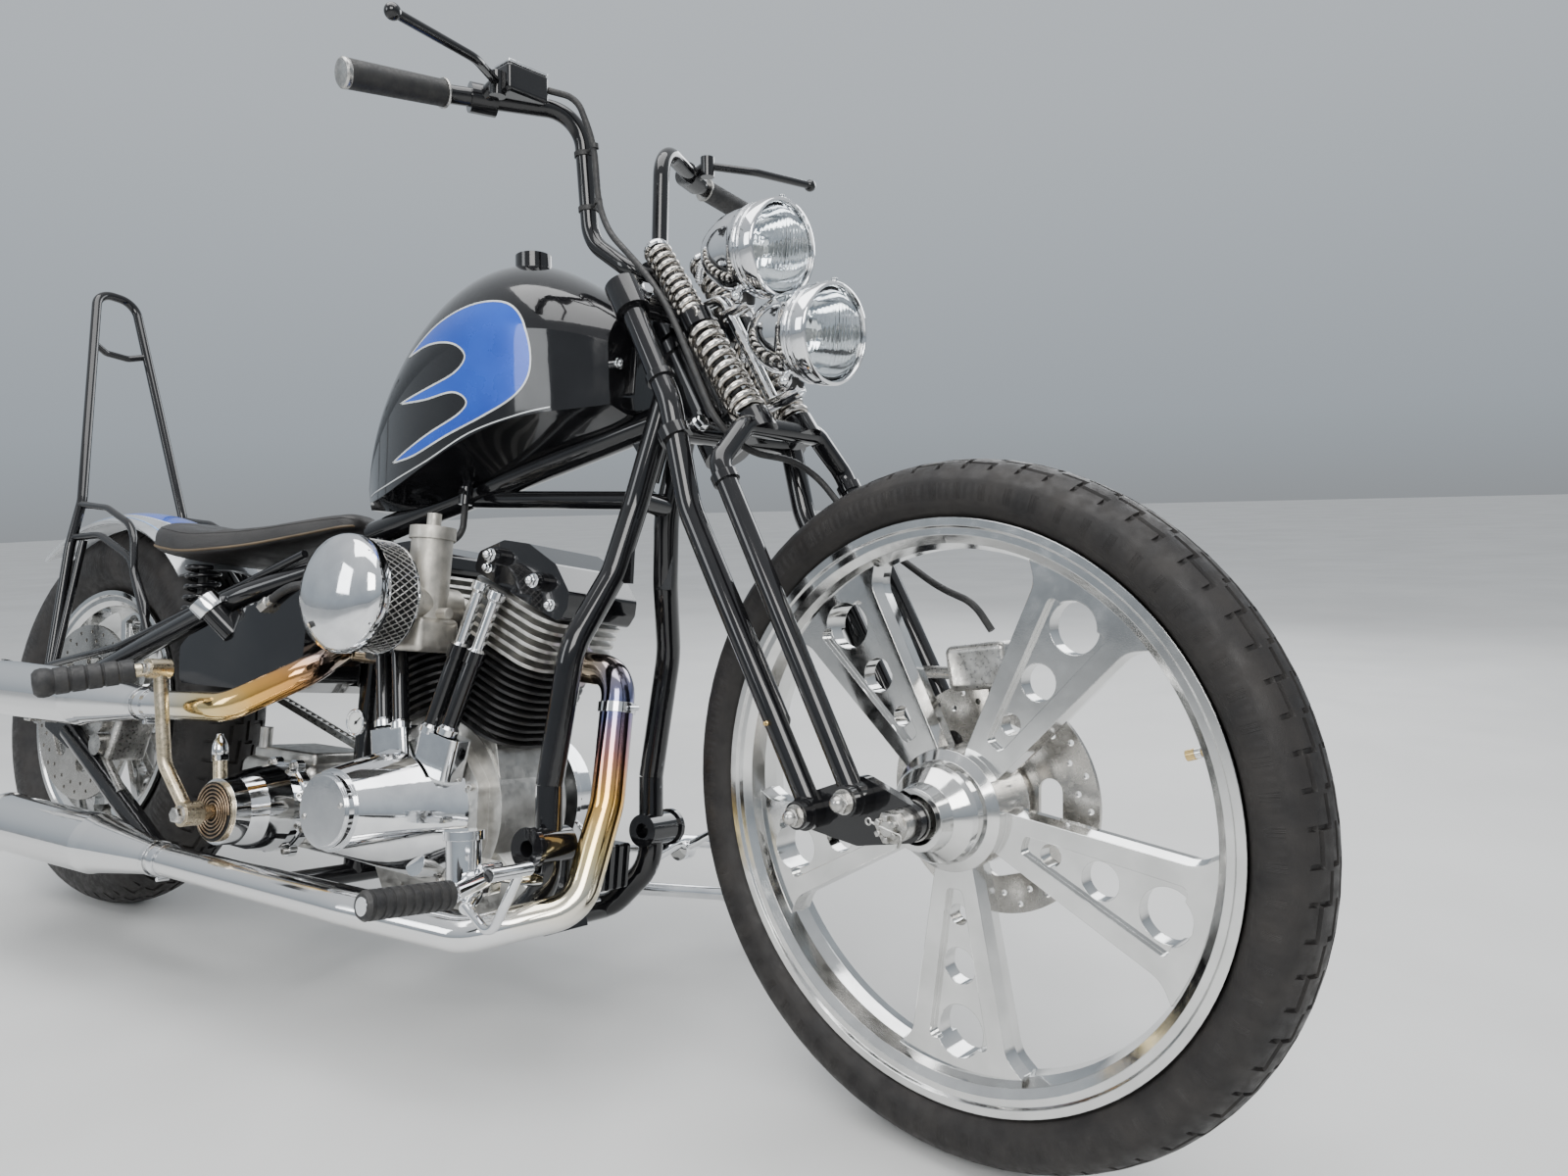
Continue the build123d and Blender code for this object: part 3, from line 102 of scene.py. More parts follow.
def calculated(tree, operation, *terms):
    """The result of a sum whose terms are sockets or numbers."""
    node = add_node(tree, "ShaderNodeMath", operation=operation)
    for socket, term in zip(node.inputs, terms):
        if isinstance(term, (int, float)):
            socket.default_value = term
        else:
            tree.links.new(term, socket)
    return node.outputs[0]


def mottled(tree, scale, detail=4.0):
    """Noise in the object's own coordinates, in metres."""
    source = add_node(tree, "ShaderNodeTexCoord").outputs["Object"]
    texture = add_node(tree, "ShaderNodeTexNoise")
    texture.inputs["Scale"].default_value = scale
    texture.inputs["Detail"].default_value = detail
    tree.links.new(source, texture.inputs["Vector"])
    return texture.outputs["Fac"]


def ramp(tree, factor, stops):
    """Runs through values or colours, each with its place from 0 to 1."""
    node = add_node(tree, "ShaderNodeValToRGB")
    elements = node.color_ramp.elements
    while len(elements) < len(stops):
        elements.new(0.5)
    for element, (place, value) in zip(elements, stops):
        element.position = place
        element.color = (value, value, value, 1) if isinstance(value, (int, float)) else (*value, 1)
    tree.links.new(factor, node.inputs["Fac"])
    return node.outputs["Color"]


def relief(tree, shader, height, strength, distance, bevel=0.0):
    """Bump from a height, over edges that are rounded in the shading where asked."""
    bump = add_node(tree, "ShaderNodeBump")
    bump.inputs["Strength"].default_value = strength
    bump.inputs["Distance"].default_value = distance
    tree.links.new(height, bump.inputs["Height"])
    if bevel:
        edge = add_node(tree, "ShaderNodeBevel", samples=4)
        edge.inputs["Radius"].default_value = bevel
        tree.links.new(edge.outputs["Normal"], bump.inputs["Normal"])
    tree.links.new(bump.outputs["Normal"], shader.inputs["Normal"])


def vary(tree, shader, channel, scale, low, high, detail=4.0, places=(0.35, 0.65)):
    """Lets a channel of a shader drift between two values or colours in patches."""
    tones = ramp(tree, mottled(tree, scale, detail), list(zip(places, (low, high))))
    tree.links.new(tones, shader.inputs[channel])


def surface(name, dark, light, roughness, metallic=0.0, patch=25.0, grain=900.0, grain_strength=0.15,
            coat=0.0, bevel=0.0006, specular=0.5):
    """A finish whose colour drifts between two tones, with patchy roughness and a fine grain."""
    material, tree, shader = new_material(name)
    shader.inputs["Metallic"].default_value = metallic
    shader.inputs["Specular IOR Level"].default_value = specular
    shader.inputs["Coat Weight"].default_value = coat
    shader.inputs["Coat Roughness"].default_value = 0.03
    vary(tree, shader, "Base Color", patch, dark, light)
    vary(tree, shader, "Roughness", patch * 3.7, *roughness, detail=6.0)
    relief(tree, shader, mottled(tree, grain, 2.0), grain_strength, 0.0002, bevel)
    return material


# Finishes. Columns: darker tone, lighter tone, least and most roughness, and what else differs
FINISHES = {
    "gloss_black": ((0.004, 0.004, 0.005), (0.010, 0.010, 0.011), (0.06, 0.16),
                    dict(coat=0.7, patch=9, grain=240, grain_strength=0.04, bevel=0.0008, specular=0.2)),
    "chrome": ((0.72, 0.73, 0.75), (0.86, 0.87, 0.88), (0.03, 0.09),
               dict(metallic=1, patch=30, grain=300, grain_strength=0.03, bevel=0.0008)),
    "polished_aluminium": ((0.60, 0.60, 0.59), (0.74, 0.74, 0.73), (0.06, 0.15),
                           dict(metallic=1, patch=18, grain=700, grain_strength=0.08, bevel=0.0012)),
    "cast_aluminium": ((0.40, 0.39, 0.37), (0.62, 0.61, 0.58), (0.28, 0.48),
                       dict(metallic=1, patch=40, grain=1100, grain_strength=0.35, bevel=0.001)),
    "steel": ((0.36, 0.35, 0.33), (0.58, 0.57, 0.55), (0.22, 0.42),
              dict(metallic=1, patch=60, grain_strength=0.2)),
    "spring_steel": ((0.20, 0.14, 0.09), (0.36, 0.27, 0.19), (0.24, 0.40), dict(metallic=1, patch=70)),
    "spring_wire": ((0.46, 0.43, 0.39), (0.64, 0.61, 0.57), (0.10, 0.20),
                    dict(metallic=1, patch=45, grain_strength=0.05)),
    "disc_steel": ((0.48, 0.46, 0.43), (0.56, 0.54, 0.51), (0.20, 0.30),
                   dict(metallic=1, patch=40, grain=1400, grain_strength=0.08)),
    "black_casting": ((0.010, 0.010, 0.011), (0.022, 0.021, 0.020), (0.35, 0.55),
                      dict(patch=60, grain=1500, grain_strength=0.3)),
    "rubber": ((0.014, 0.014, 0.015), (0.028, 0.027, 0.026), (0.45, 0.68),
               dict(patch=80, grain=1600, grain_strength=0.2)),
    "brass": ((0.52, 0.36, 0.14), (0.70, 0.52, 0.24), (0.18, 0.34), dict(metallic=1)),
    "gold_zinc": ((0.56, 0.47, 0.32), (0.72, 0.62, 0.46), (0.22, 0.36), dict(metallic=1, patch=50)),
    # Near black: painted shade on the kicker's well disc and the air cleaner's filter drum, and the black of the
    # gauge's needle.
    "dark_hole": ((0.004, 0.004, 0.004), (0.010, 0.010, 0.010), (0.6, 0.8), {}),
    "pale_casting": ((0.42, 0.40, 0.36), (0.60, 0.57, 0.51), (0.38, 0.56),
                     dict(metallic=0.85, patch=50, grain=1300, grain_strength=0.4, bevel=0.001)),
    "white_line": ((0.58, 0.60, 0.60), (0.72, 0.74, 0.73), (0.12, 0.22), dict(coat=1, patch=60, bevel=0)),
    "pale_blue_line": ((0.20, 0.34, 0.62), (0.26, 0.42, 0.70), (0.12, 0.22),
                       dict(coat=1, patch=60, bevel=0)),
    "panel_blue": ((0.003, 0.052, 0.42), (0.008, 0.095, 0.62), (0.20, 0.34),
                   dict(metallic=0.3, patch=6, grain=2600, grain_strength=0.2, coat=0.7, bevel=0)),
    "fender_pearl": ((0.40, 0.42, 0.44), (0.50, 0.52, 0.54), (0.14, 0.24),
                     dict(metallic=0.4, patch=8, grain=2600, grain_strength=0.1, coat=0.7, bevel=0.0008)),
    "dial_white": ((0.66, 0.66, 0.64), (0.76, 0.76, 0.74), (0.3, 0.4), {}),
    "tan_piping": ((0.07, 0.048, 0.026), (0.12, 0.085, 0.048), (0.45, 0.6),
                   dict(grain=1400, grain_strength=0.4)),
    "porcelain": ((0.62, 0.61, 0.58), (0.72, 0.71, 0.68), (0.15, 0.25), dict(coat=0.6)),
}
MATERIALS = {name: surface(name, dark, light, roughness, **more)
             for name, (dark, light, roughness, more) in FINISHES.items()}


def tyre_rubber():
    """Rubber with a dusty bloom, and fine ribs on the side wall's band by the mesh's own map."""
    material, tree, shader = new_material("tyre_rubber")
    vary(tree, shader, "Base Color", 28.0, (0.010, 0.009, 0.009), (0.026, 0.023, 0.021), 6.0, (0.3, 0.7))
    vary(tree, shader, "Roughness", 90.0, 0.42, 0.66)
    shader.inputs["Specular IOR Level"].default_value = 0.35
    around = add_node(tree, "ShaderNodeSeparateXYZ")
    tree.links.new(add_node(tree, "ShaderNodeTexCoord").outputs["UV"], around.inputs["Vector"])
    ribs_around = 1000
    turn = calculated(tree, "MULTIPLY", around.outputs["X"], 2 * math.pi * ribs_around)
    in_band = calculated(tree, "GREATER_THAN", around.outputs["Y"], 0.5)
    ribs = calculated(tree, "MULTIPLY", calculated(tree, "SINE", turn), in_band)
    height = calculated(tree, "MULTIPLY_ADD", ribs, 0.5, mottled(tree, 1300.0))
    relief(tree, shader, height, 0.6, 0.0005)
    return material


def leather():
    """Black leather: a pebbled grain with finer creases, more worn and glossy in patches."""
    material, tree, shader = new_material("leather")
    vary(tree, shader, "Base Color", 14.0, (0.012, 0.011, 0.011), (0.030, 0.028, 0.027), 6.0, (0.3, 0.7))
    vary(tree, shader, "Roughness", 35.0, 0.34, 0.52, 5.0)
    cells = add_node(tree, "ShaderNodeTexVoronoi", feature="DISTANCE_TO_EDGE")
    cells.inputs["Scale"].default_value = 620.0
    tree.links.new(add_node(tree, "ShaderNodeTexCoord").outputs["Object"], cells.inputs["Vector"])
    height = calculated(tree, "MULTIPLY_ADD", cells.outputs["Distance"], 1.6, mottled(tree, 240.0, 6.0))
    relief(tree, shader, height, 0.5, 0.0005)
    return material


def heated_chrome(name, port, reach, hottest, hot):
    """Chrome tinted by heat near an exhaust port, through orange and straw, and clear beyond its reach."""
    material, tree, shader = new_material(name)
    shader.inputs["Metallic"].default_value = 1.0
    distance = add_node(tree, "ShaderNodeVectorMath", operation="DISTANCE")
    distance.inputs[1].default_value = PLACE["frame"] @ Vector(port)
    tree.links.new(add_node(tree, "ShaderNodeTexCoord").outputs["Object"], distance.inputs[0])
    share = calculated(tree, "DIVIDE", distance.outputs["Value"], reach)
    waver = calculated(tree, "MULTIPLY_ADD", mottled(tree, 14.0, 3.0), 0.16, share)
    tints = ramp(tree, waver, [
        (0.12, (0.42, 0.33, 0.22)), (0.30, hottest), (0.44, hot),
        (0.58, (0.85, 0.48, 0.12)), (0.76, (0.86, 0.70, 0.36)), (1.0, (0.80, 0.80, 0.80))])
    tree.links.new(tints, shader.inputs["Base Color"])
    vary(tree, shader, "Roughness", 40.0, 0.05, 0.14)
    relief(tree, shader, mottled(tree, 300.0), 0.03, 0.0002, 0.0008)
    return material


def clear_glass():
    """Lamp glass with a little haze."""
    material, tree, shader = new_material("lamp_glass")
    shader.inputs["Base Color"].default_value = (0.93, 0.96, 0.97, 1)
    shader.inputs["Transmission Weight"].default_value = 1.0
    shader.inputs["IOR"].default_value = 1.3
    vary(tree, shader, "Roughness", 90.0, 0.01, 0.06)
    return material


MATERIALS["tyre"] = tyre_rubber()
MATERIALS["leather"] = leather()
MATERIALS["lamp_glass"] = clear_glass()
MATERIALS["front_heat"] = heated_chrome("front_heat", (1060, -24, 452), 0.34, (0.20, 0.22, 0.40),
                                        (0.55, 0.25, 0.20))
MATERIALS["rear_heat"] = heated_chrome("rear_heat", (640, -60, 462), 0.30, (0.26, 0.20, 0.18),
                                       (0.74, 0.36, 0.10))
MATERIALS["tank_paint"] = MATERIALS["gloss_black"]

# The finish of a CAD node where it isn't that of its record slot
FINISH_OF = {
    "exhaust_front": "front_heat", "exhaust_rear": "rear_heat", "front_brake_disc": "disc_steel",
    "rear_brake_disc": "disc_steel", "kick_starter": "gold_zinc", "carburettor": "pale_casting",
    "rear_fender": "fender_pearl",
}
slot_of = {row["node"]: row["material_slot"] for row in frame["record"]["subparts"]}
for name, node in frame["nodes"].items():
    finish = FINISH_OF.get(name, slot_of[name])
    node.data.materials.clear()
    node.data.materials.append(MATERIALS[finish])


# Mesh tools. A shape is a pair of lists, its points in millimetres and its faces.

def frame_on(axis, origin):
    """The matrix that carries local Z onto an axis at an origin."""
    return Matrix.Translation(Vector(origin)) @ Vector(axis).to_track_quat("Z", "Y").to_matrix().to_4x4()


def polar(radius, angle, height):
    """A point round local Z."""
    return Vector((radius * math.cos(angle), radius * math.sin(angle), height))


def upright(radius, angle, y=0.0):
    """An offset by its distance and angle in the upright plane along the motorcycle."""
    return Vector((radius * math.cos(angle), y, radius * math.sin(angle)))


def joined(*shapes):
    points, faces = [], []
    for shape_points, shape_faces in shapes:
        start = len(points)
        points += shape_points
        faces += [[start + corner for corner in face] for face in shape_faces]
    return points, faces


def moved(shape, matrix):
    return [matrix @ Vector(point) for point in shape[0]], shape[1]


def between_rings(rings, corners, closed=False):
    """Faces between rings of corners listed one after another, and back to the first where closed."""
    faces = []
    for ring in range(rings if closed else rings - 1):
        here, there = ring * corners, (ring + 1) % rings * corners
        for corner in range(corners):
            after = (corner + 1) % corners
            faces.append([here + corner, here + after, there + after, there + corner])
    return faces


def revolved(profile, origin, axis, segments):
    """A closed turned solid whose profile runs from axis to axis as (radius, height)."""
    points, faces, rings = [], [], []
    for radius, height in profile:
        if radius <= 0:
            rings.append([len(points)])
            points.append(Vector((0, 0, height)))
            continue
        rings.append(list(range(len(points), len(points) + segments)))
        for step in range(segments):
            points.append(polar(radius, 2 * math.pi * step / segments, height))
    for low, high in zip(rings, rings[1:]):
        for step in range(segments):
            after = (step + 1) % segments
            if len(low) == 1:
                faces.append([low[0], high[step], high[after]])
            elif len(high) == 1:
                faces.append([low[step], low[after], high[0]])
            else:
                faces.append([low[step], low[after], high[after], high[step]])
    return moved((points, faces), frame_on(axis, origin))


def ring_shape(profile, origin, axis, segments):
    """A turned ring whose closed profile doesn't meet the axis."""
    points = []
    for step in range(segments):
        angle = 2 * math.pi * step / segments
        points += [polar(radius, angle, height) for radius, height in profile]
    return moved((points, between_rings(segments, len(profile), closed=True)), frame_on(axis, origin))


def smooth_line(corners, steps=8):
    """Points on a smooth line through its corners."""
    corners = [Vector(corner) for corner in corners]
    run = [corners[0] * 2 - corners[1]] + corners + [corners[-1] * 2 - corners[-2]]
    line = []
    for a, b, c, d in zip(run, run[1:], run[2:], run[3:]):
        for step in range(steps):
            t = step / steps
            line.append(0.5 * (2 * b + (c - a) * t + (2 * a - 5 * b + 4 * c - d) * t * t
                               + (3 * b - a - 3 * c + d) * t ** 3))
    return line + [corners[-1]]


def tube(line, radius, sides, closed=False):
    """A tube along points, its section carried along without twisting."""
    line = [Vector(point) for point in line]
    count = len(line)
    points = []
    side = None
    for number, point in enumerate(line):
        before = line[number - 1] if closed or number else point
        after = line[(number + 1) % count] if closed or number < count - 1 else point
        tangent = (after - before).normalized()
        side = side or tangent.orthogonal().normalized()
        side = (side - tangent * side.dot(tangent)).normalized()
        other = tangent.cross(side)
        for step in range(sides):
            angle = 2 * math.pi * step / sides
            points.append(point + (side * math.cos(angle) + other * math.sin(angle)) * radius)
    faces = between_rings(count, sides, closed)
    if not closed:
        last = (count - 1) * sides
        faces.append(list(range(sides))[::-1])
        faces.append([last + step for step in range(sides)])
    return points, faces


def coil_line(start, end, radius, wire, turns):
    """The centre line of a coil spring whose end turns lie nearly closed."""
    per_turn = 28
    start, end = Vector(start), Vector(end)
    matrix = frame_on(end - start, start)
    free = (end - start).length - 2 * wire
    total = int(turns * per_turn)
    rise = [0.35 + 0.65 * min(step / per_turn, turns - step / per_turn, 1.0) for step in range(total)]
    line, height = [], wire
    for step in range(total + 1):
        line.append(matrix @ polar(radius, 2 * math.pi * step / per_turn, height))
        if step < total:
            height += free * rise[step] / sum(rise)
    return line


def prism(across, height, origin, axis):
    """A hexagon nut or bolt head with a chamfered top, across its flats."""
    outer = across / math.sqrt(3)
    chamfer = min(height, across) * 0.12
    return revolved([(0, 0), (outer, 0), (outer, height - chamfer), (outer - chamfer * 1.4, height),
                     (0, height)], origin, axis, 6)


def washer(radius, thickness, origin, axis):
    return revolved([(0, 0), (radius, 0), (radius, thickness), (0, thickness)], origin, axis, 28)


def acorn(across, origin, axis):
    """A domed nut on a washer."""
    direction = Vector(axis).normalized()
    top = Vector(origin) + direction * 1.6
    reach = across * 0.46
    dome = [(reach * math.cos(turn), reach * math.sin(turn)) for turn in (0.0, 0.35, 0.7, 1.05, 1.35)]
    return joined(
        washer(across * 0.68, 1.6, origin, axis), prism(across, across * 0.42, top, axis),
        revolved([(0, -1)] + dome + [(0, reach)], top + direction * across * 0.40, axis, 20))


def hex_bolt(across, origin, axis):
    """A hexagon head on a washer."""
    top = Vector(origin) + Vector(axis).normalized() * 1.4
    return joined(washer(across * 0.66, 1.4, origin, axis), prism(across, across * 0.5, top, axis))


def socket_screw(radius, origin, axis):
    """A cap screw with a hollow in its head."""
    height = radius * 1.1
    return revolved([(0, 0), (radius, 0), (radius, height - 0.6), (radius - 0.6, height),
                     (radius * 0.55, height), (radius * 0.55, height * 0.4), (0, height * 0.4)],
                    origin, axis, 18)


def round_screw(radius, origin, axis):
    """A low domed screw head."""
    return revolved([(0, 0), (radius, 0), (radius, radius * 0.2), (radius * 0.75, radius * 0.5),
                     (0, radius * 0.62)], origin, axis, 18)


def rounded_box(centre, size, bevel, turn=None):
    """A box with rounded edges, turned by a matrix where asked."""
    work = bmesh.new()
    bmesh.ops.create_cube(work, size=1.0, matrix=Matrix.Diagonal((*size, 1)))
    bmesh.ops.bevel(work, geom=work.edges[:], offset=bevel, segments=3, profile=0.5, affect="EDGES")
    work.verts.index_update()
    points = [vertex.co.copy() for vertex in work.verts]
    faces = [[vertex.index for vertex in face.verts] for face in work.faces]
    work.free()
    return moved((points, faces), Matrix.Translation(Vector(centre)) @ (turn or Matrix.Identity(4)))


def make(name, body, shape, material, sharp=38.0, stands_for=()):
    """A piece from a shape in the motorcycle's own frame, riding on a body."""
    points, faces = shape
    mesh = bpy.data.meshes.new(name)
    mesh.from_pydata([tuple(PLACE[body] @ Vector(point)) for point in points], [], faces)
    work = bmesh.new()
    work.from_mesh(mesh)
    bmesh.ops.recalc_face_normals(work, faces=work.faces)
    work.to_mesh(mesh)
    work.free()
    mesh.polygons.foreach_set("use_smooth", [True] * len(mesh.polygons))
    mesh.set_sharp_from_angle(angle=math.radians(sharp))
    mesh.materials.append(MATERIALS[material])
    piece = bpy.data.objects.new(name, mesh)
    bpy.context.scene.collection.objects.link(piece)
    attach(piece, body)
    if stands_for:
        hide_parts(*stands_for)
    return piece


# Tyres

def arc_through(start, middle, end, steps):
    """Points on the arc through three points in a plane."""
    (ax, ay), (bx, by), (cx, cy) = start, middle, end
    twice = 2 * (ax * (by - cy) + bx * (cy - ay) + cx * (ay - by))
    a2, b2, c2 = ax * ax + ay * ay, bx * bx + by * by, cx * cx + cy * cy
    ux = (a2 * (by - cy) + b2 * (cy - ay) + c2 * (ay - by)) / twice
    uy = (a2 * (cx - bx) + b2 * (ax - cx) + c2 * (bx - ax)) / twice
    radius = math.hypot(ax - ux, ay - uy)
    first = math.atan2(ay - uy, ax - ux)
    middle_turn = (math.atan2(by - uy, bx - ux) - first) % (2 * math.pi)
    last = (math.atan2(cy - uy, cx - ux) - first) % (2 * math.pi)
    if middle_turn > last:
        last -= 2 * math.pi
    return [(ux + radius * math.cos(first + last * step / steps),
             uy + radius * math.sin(first + last * step / steps)) for step in range(steps + 1)]


# One pitch of the tread's right half, as stepped grooves. Columns: share of the half width where a run
# starts and ends, then place along the pitch where it starts and ends
TREAD_RUNS = [
    (0.74, 1.02, 0.10, 0.10), (0.74, 0.74, 0.10, 0.60), (0.42, 0.74, 0.60, 0.60), (0.42, 0.42, 0.60, 0.98),
    (0.12, 0.30, 0.10, 0.10), (0.12, 0.12, 0.10, 0.60), (0.90, 1.02, 0.60, 0.60)]
GROOVE_WALL = 0.7
# Side wall steps where the wall stands proud, and by how many millimetres
SIDE_RINGS = {4: 0.8, 5: 0.8, 12: 0.7, 13: 0.7, 16: 0.9}
SIDE_STEPS = 20
KNURLED_STEPS = (6, 11)


def detailed_tyre(name, node, body, axle, radius, half_width, rim_radius, bead_half, pitches, groove,
                  depth):
    """A tyre whose tread is cut by stepped grooves, with ringed and knurled side walls."""
    height = radius - rim_radius
    shoulder = (radius - height * 0.16, half_width * 0.72)
    bulge = (rim_radius + height * 0.45, half_width - 0.5)
    bead = (rim_radius + 4, bead_half + 2)
    heel = (bead[0] - 10, bead_half)
    tread_half = shoulder[1]
    pitch = 2 * math.pi * radius / pitches
    crown = arc_through((shoulder[0], -shoulder[1]), (radius, 0), shoulder, 60)
    boxes = [(low * tread_half - groove, high * tread_half + groove,
              start * pitch - groove, end * pitch + groove) for low, high, start, end in TREAD_RUNS]
    rows, columns = {0.0, tread_half, tread_half * 0.56, tread_half * 0.88}, set()
    for low, high, start, end in boxes:
        rows.update(edge for edge in (low - GROOVE_WALL, low, high, high + GROOVE_WALL)
                    if 0 < edge < tread_half)
        columns.update(round(edge % (pitch / 2), 3) for edge in
                       (start - GROOVE_WALL, start, end, end + GROOVE_WALL))
    rows = [-row for row in sorted(rows, reverse=True) if row > 0] + sorted(rows)
    columns = sorted(columns | {column + pitch / 2 for column in columns})

    def crown_radius(across):
        for (r0, y0), (r1, y1) in zip(crown, crown[1:]):
            if y0 - 1e-6 <= across <= y1 + 1e-6:
                return r0 + (r1 - r0) * (across - y0) / (y1 - y0)
        return shoulder[0]

    def cut(travel, across):
        here = (travel + (0 if across < 0 else pitch / 2)) % pitch
        for low, high, start, end in boxes:
            if not low - 0.01 <= abs(across) <= high + 0.01:
                continue
            if any(start - 0.02 <= here + shift <= end + 0.02 for shift in (-pitch, 0, pitch)):
                return depth
        return 0.0

    side = []
    for step, (r, y) in enumerate(arc_through(shoulder, bulge, bead, SIDE_STEPS)[1:], 1):
        side.append((r, y + SIDE_RINGS.get(step, 0.0) * 0.5))
    points = []
    for turn in range(pitches):
        for travel in columns:
            angle = 2 * math.pi * (turn + travel / pitch) / pitches
            line = [(heel[0], -heel[1])] + [(r, -y) for r, y in reversed(side)]
            for across in rows:
                share = 0.5 if abs(across) > tread_half - 0.01 else 1.0
                line.append((crown_radius(across) - cut(travel, across) * share, across))
            line += side + [heel]
            points += [axle + upright(r, angle, y) for r, y in line]
    wide = len(rows) + 2 * len(side) + 2
    around = pitches * len(columns)
    faces = between_rings(around, wide, closed=True)
    piece = make(name, body, (points, faces), "tyre", sharp=40.0, stands_for=(node,))
    uv = piece.data.uv_layers.new(name="Around")
    for polygon in piece.data.polygons:
        indices = list(polygon.vertices)
        turns = [(index // wide) / around for index in indices]
        wraps = max(turns) - min(turns) > 0.5
        middle = sum(index % wide for index in indices) / len(indices)
        from_tread = len(side) + 1 - min(middle, wide - 1 - middle)
        knurled = KNURLED_STEPS[0] <= from_tread <= KNURLED_STEPS[1]
        for loop, turn in zip(polygon.loop_indices, turns):
            turn = turn + 1.0 if wraps and turn < 0.5 else turn
            uv.data[loop].uv = (turn, 1.0 if knurled else 0.0)


# Coil springs of the fork and the seat, on their rods. Columns: radius of the centre line, wire, turns
LOWER_COIL = (17.4, 4.6, 8.5)
UPPER_COIL = (13.6, 3.8, 9.0)
SEAT_COIL = (22.5, 3.9, 5.5)
# Turned profiles, as radius and height
SPRING_CAP = [(0, 0), (13.5, 0), (15.5, 2), (15.5, 5), (12, 8), (9, 12), (0, 12)]
SPRING_EYE = [(4.6, 0), (8.6, 0), (8.6, 9), (7.8, 10), (4.6, 10)]
SEAT_SPRING_CORE = [(0, 0), (14, 0), (14, 4), (9, 8), (6, 10), (6, 84), (0, 84)]


def wound(start, end, coil, sides):
    radius, wire, turns = coil
    return tube(coil_line(start, end, radius, wire, turns), wire, sides)


def fork_springs():
    wires, rods, caps = [], [], []
    for y in (-38, 38):
        low, lug_low = steer_point(432, 80, y), steer_point(563, 69, y)
        lug_high, top = steer_point(586, 67, y), steer_point(698, 58, y)
        wires += [wound(low, lug_low, LOWER_COIL, 12), wound(lug_high, top, UPPER_COIL, 12)]
        rods.append(tube([low, lug_low], 7.5, 20))
        rods.append(tube([lug_high, top], 6.0, 20))
        axis = (top - lug_high).normalized()
        caps.append(revolved(SPRING_CAP, top - axis * 3, axis, 28))
    make("fork_spring_wires", "steering", joined(*wires), "spring_wire", 60.0, ("fork_springs",))
    make("fork_spring_rods", "steering", joined(*rods), "black_casting")
    make("fork_spring_caps", "steering", joined(*caps), "chrome")
    eyes = [ring_shape(SPRING_EYE, steer_point(578, 78, side * 44), LEFT * side, 32) for side in (-1, 1)]
    make("fork_spring_eyes", "steering", joined(*eyes), "spring_wire")


def seat_springs():
    wires, cores = [], []
    for y in (-74, 74):
        wires.append(wound((290, y, 487), (290, y, 574), SEAT_COIL, 10))
        cores.append(revolved(SEAT_SPRING_CORE, (290, y, 486), UP, 24))
    make("seat_spring_wires", "frame", joined(*wires), "gloss_black", 60.0,
         ("seat_springs",))
    make("seat_spring_cores", "frame", joined(*cores), "black_casting")


# Headlamps. Columns: rim's centre by height along the steering axis and distance ahead, then the back's
LAMPS = [((588, 193), (661, 97)), ((456, 202), (526, 112))]
LAMP_LENGTH = 116
# Turned profiles, as radius and distance from the back: a lamp's shell, its reflector and its bulb
LAMP_OUTSIDE = [(0, 0), (16, 2), (24, 6), (30, 12), (36, 20), (41, 30), (46, 43), (49, 58), (50.4, 70),
                (51, 78), (53, 80), (53, 100), (56, 102), (56, 116), (54.5, 118.4), (52, 119), (50, 116),
                (49.8, 106)]
LAMP_INSIDE = [(48.5, 100), (44, 84), (36, 68), (25, 56), (12, 49), (0, 47)]
LAMP_BULB = [(0, 48), (9, 48), (9, 60), (7, 62), (7, 84), (4, 90), (0, 91)]
# Where the two beads round a shell start
SHELL_BEADS = (84, 92)
# Turned profiles, as radius and height: the foot under a lamp and the head of its clamp's bolt
LAMP_FOOT = [(0, 0), (9, 0), (9, 14.5), (7.5, 16), (0, 16)]
CLAMP_BOLT = [(0, 0), (7.6, 0), (7.6, 5), (6.4, 8), (3.6, 9.8), (0, 10.4)]


def fluted_lens(back, axis, up, across):
    """A domed glass whose inner face has upright flutes."""
    rings, around = 26, 96
    radius, edge, dome, thickness, flute = 49.4, 114.0, 8.5, 2.6, 1.0
    points = []
    for inner in (False, True):
        for ring in range(rings + 1):
            share = max(ring / rings, 0.001)
            for step in range(around):
                angle = 2 * math.pi * step / around
                x, y = share * radius * math.cos(angle), share * radius * math.sin(angle)
                height = edge + dome * (1 - share ** 2)
                if inner:
                    height -= thickness + (flute * abs(math.sin(x * 0.5)) if share < 0.92 else 0.0)
                points.append(back + axis * height + across * x + up * y)
    layer = (rings + 1) * around
    faces = between_rings(rings + 1, around)
    faces += [[corner + layer for corner in face] for face in between_rings(rings + 1, around)]
    for step in range(around):
        after = (step + 1) % around
        a, b = rings * around, layer + rings * around
        faces.append([a + step, a + after, b + after, b + step])
    faces.append(list(range(around)))
    faces.append([layer + step for step in range(around)])
    return points, faces


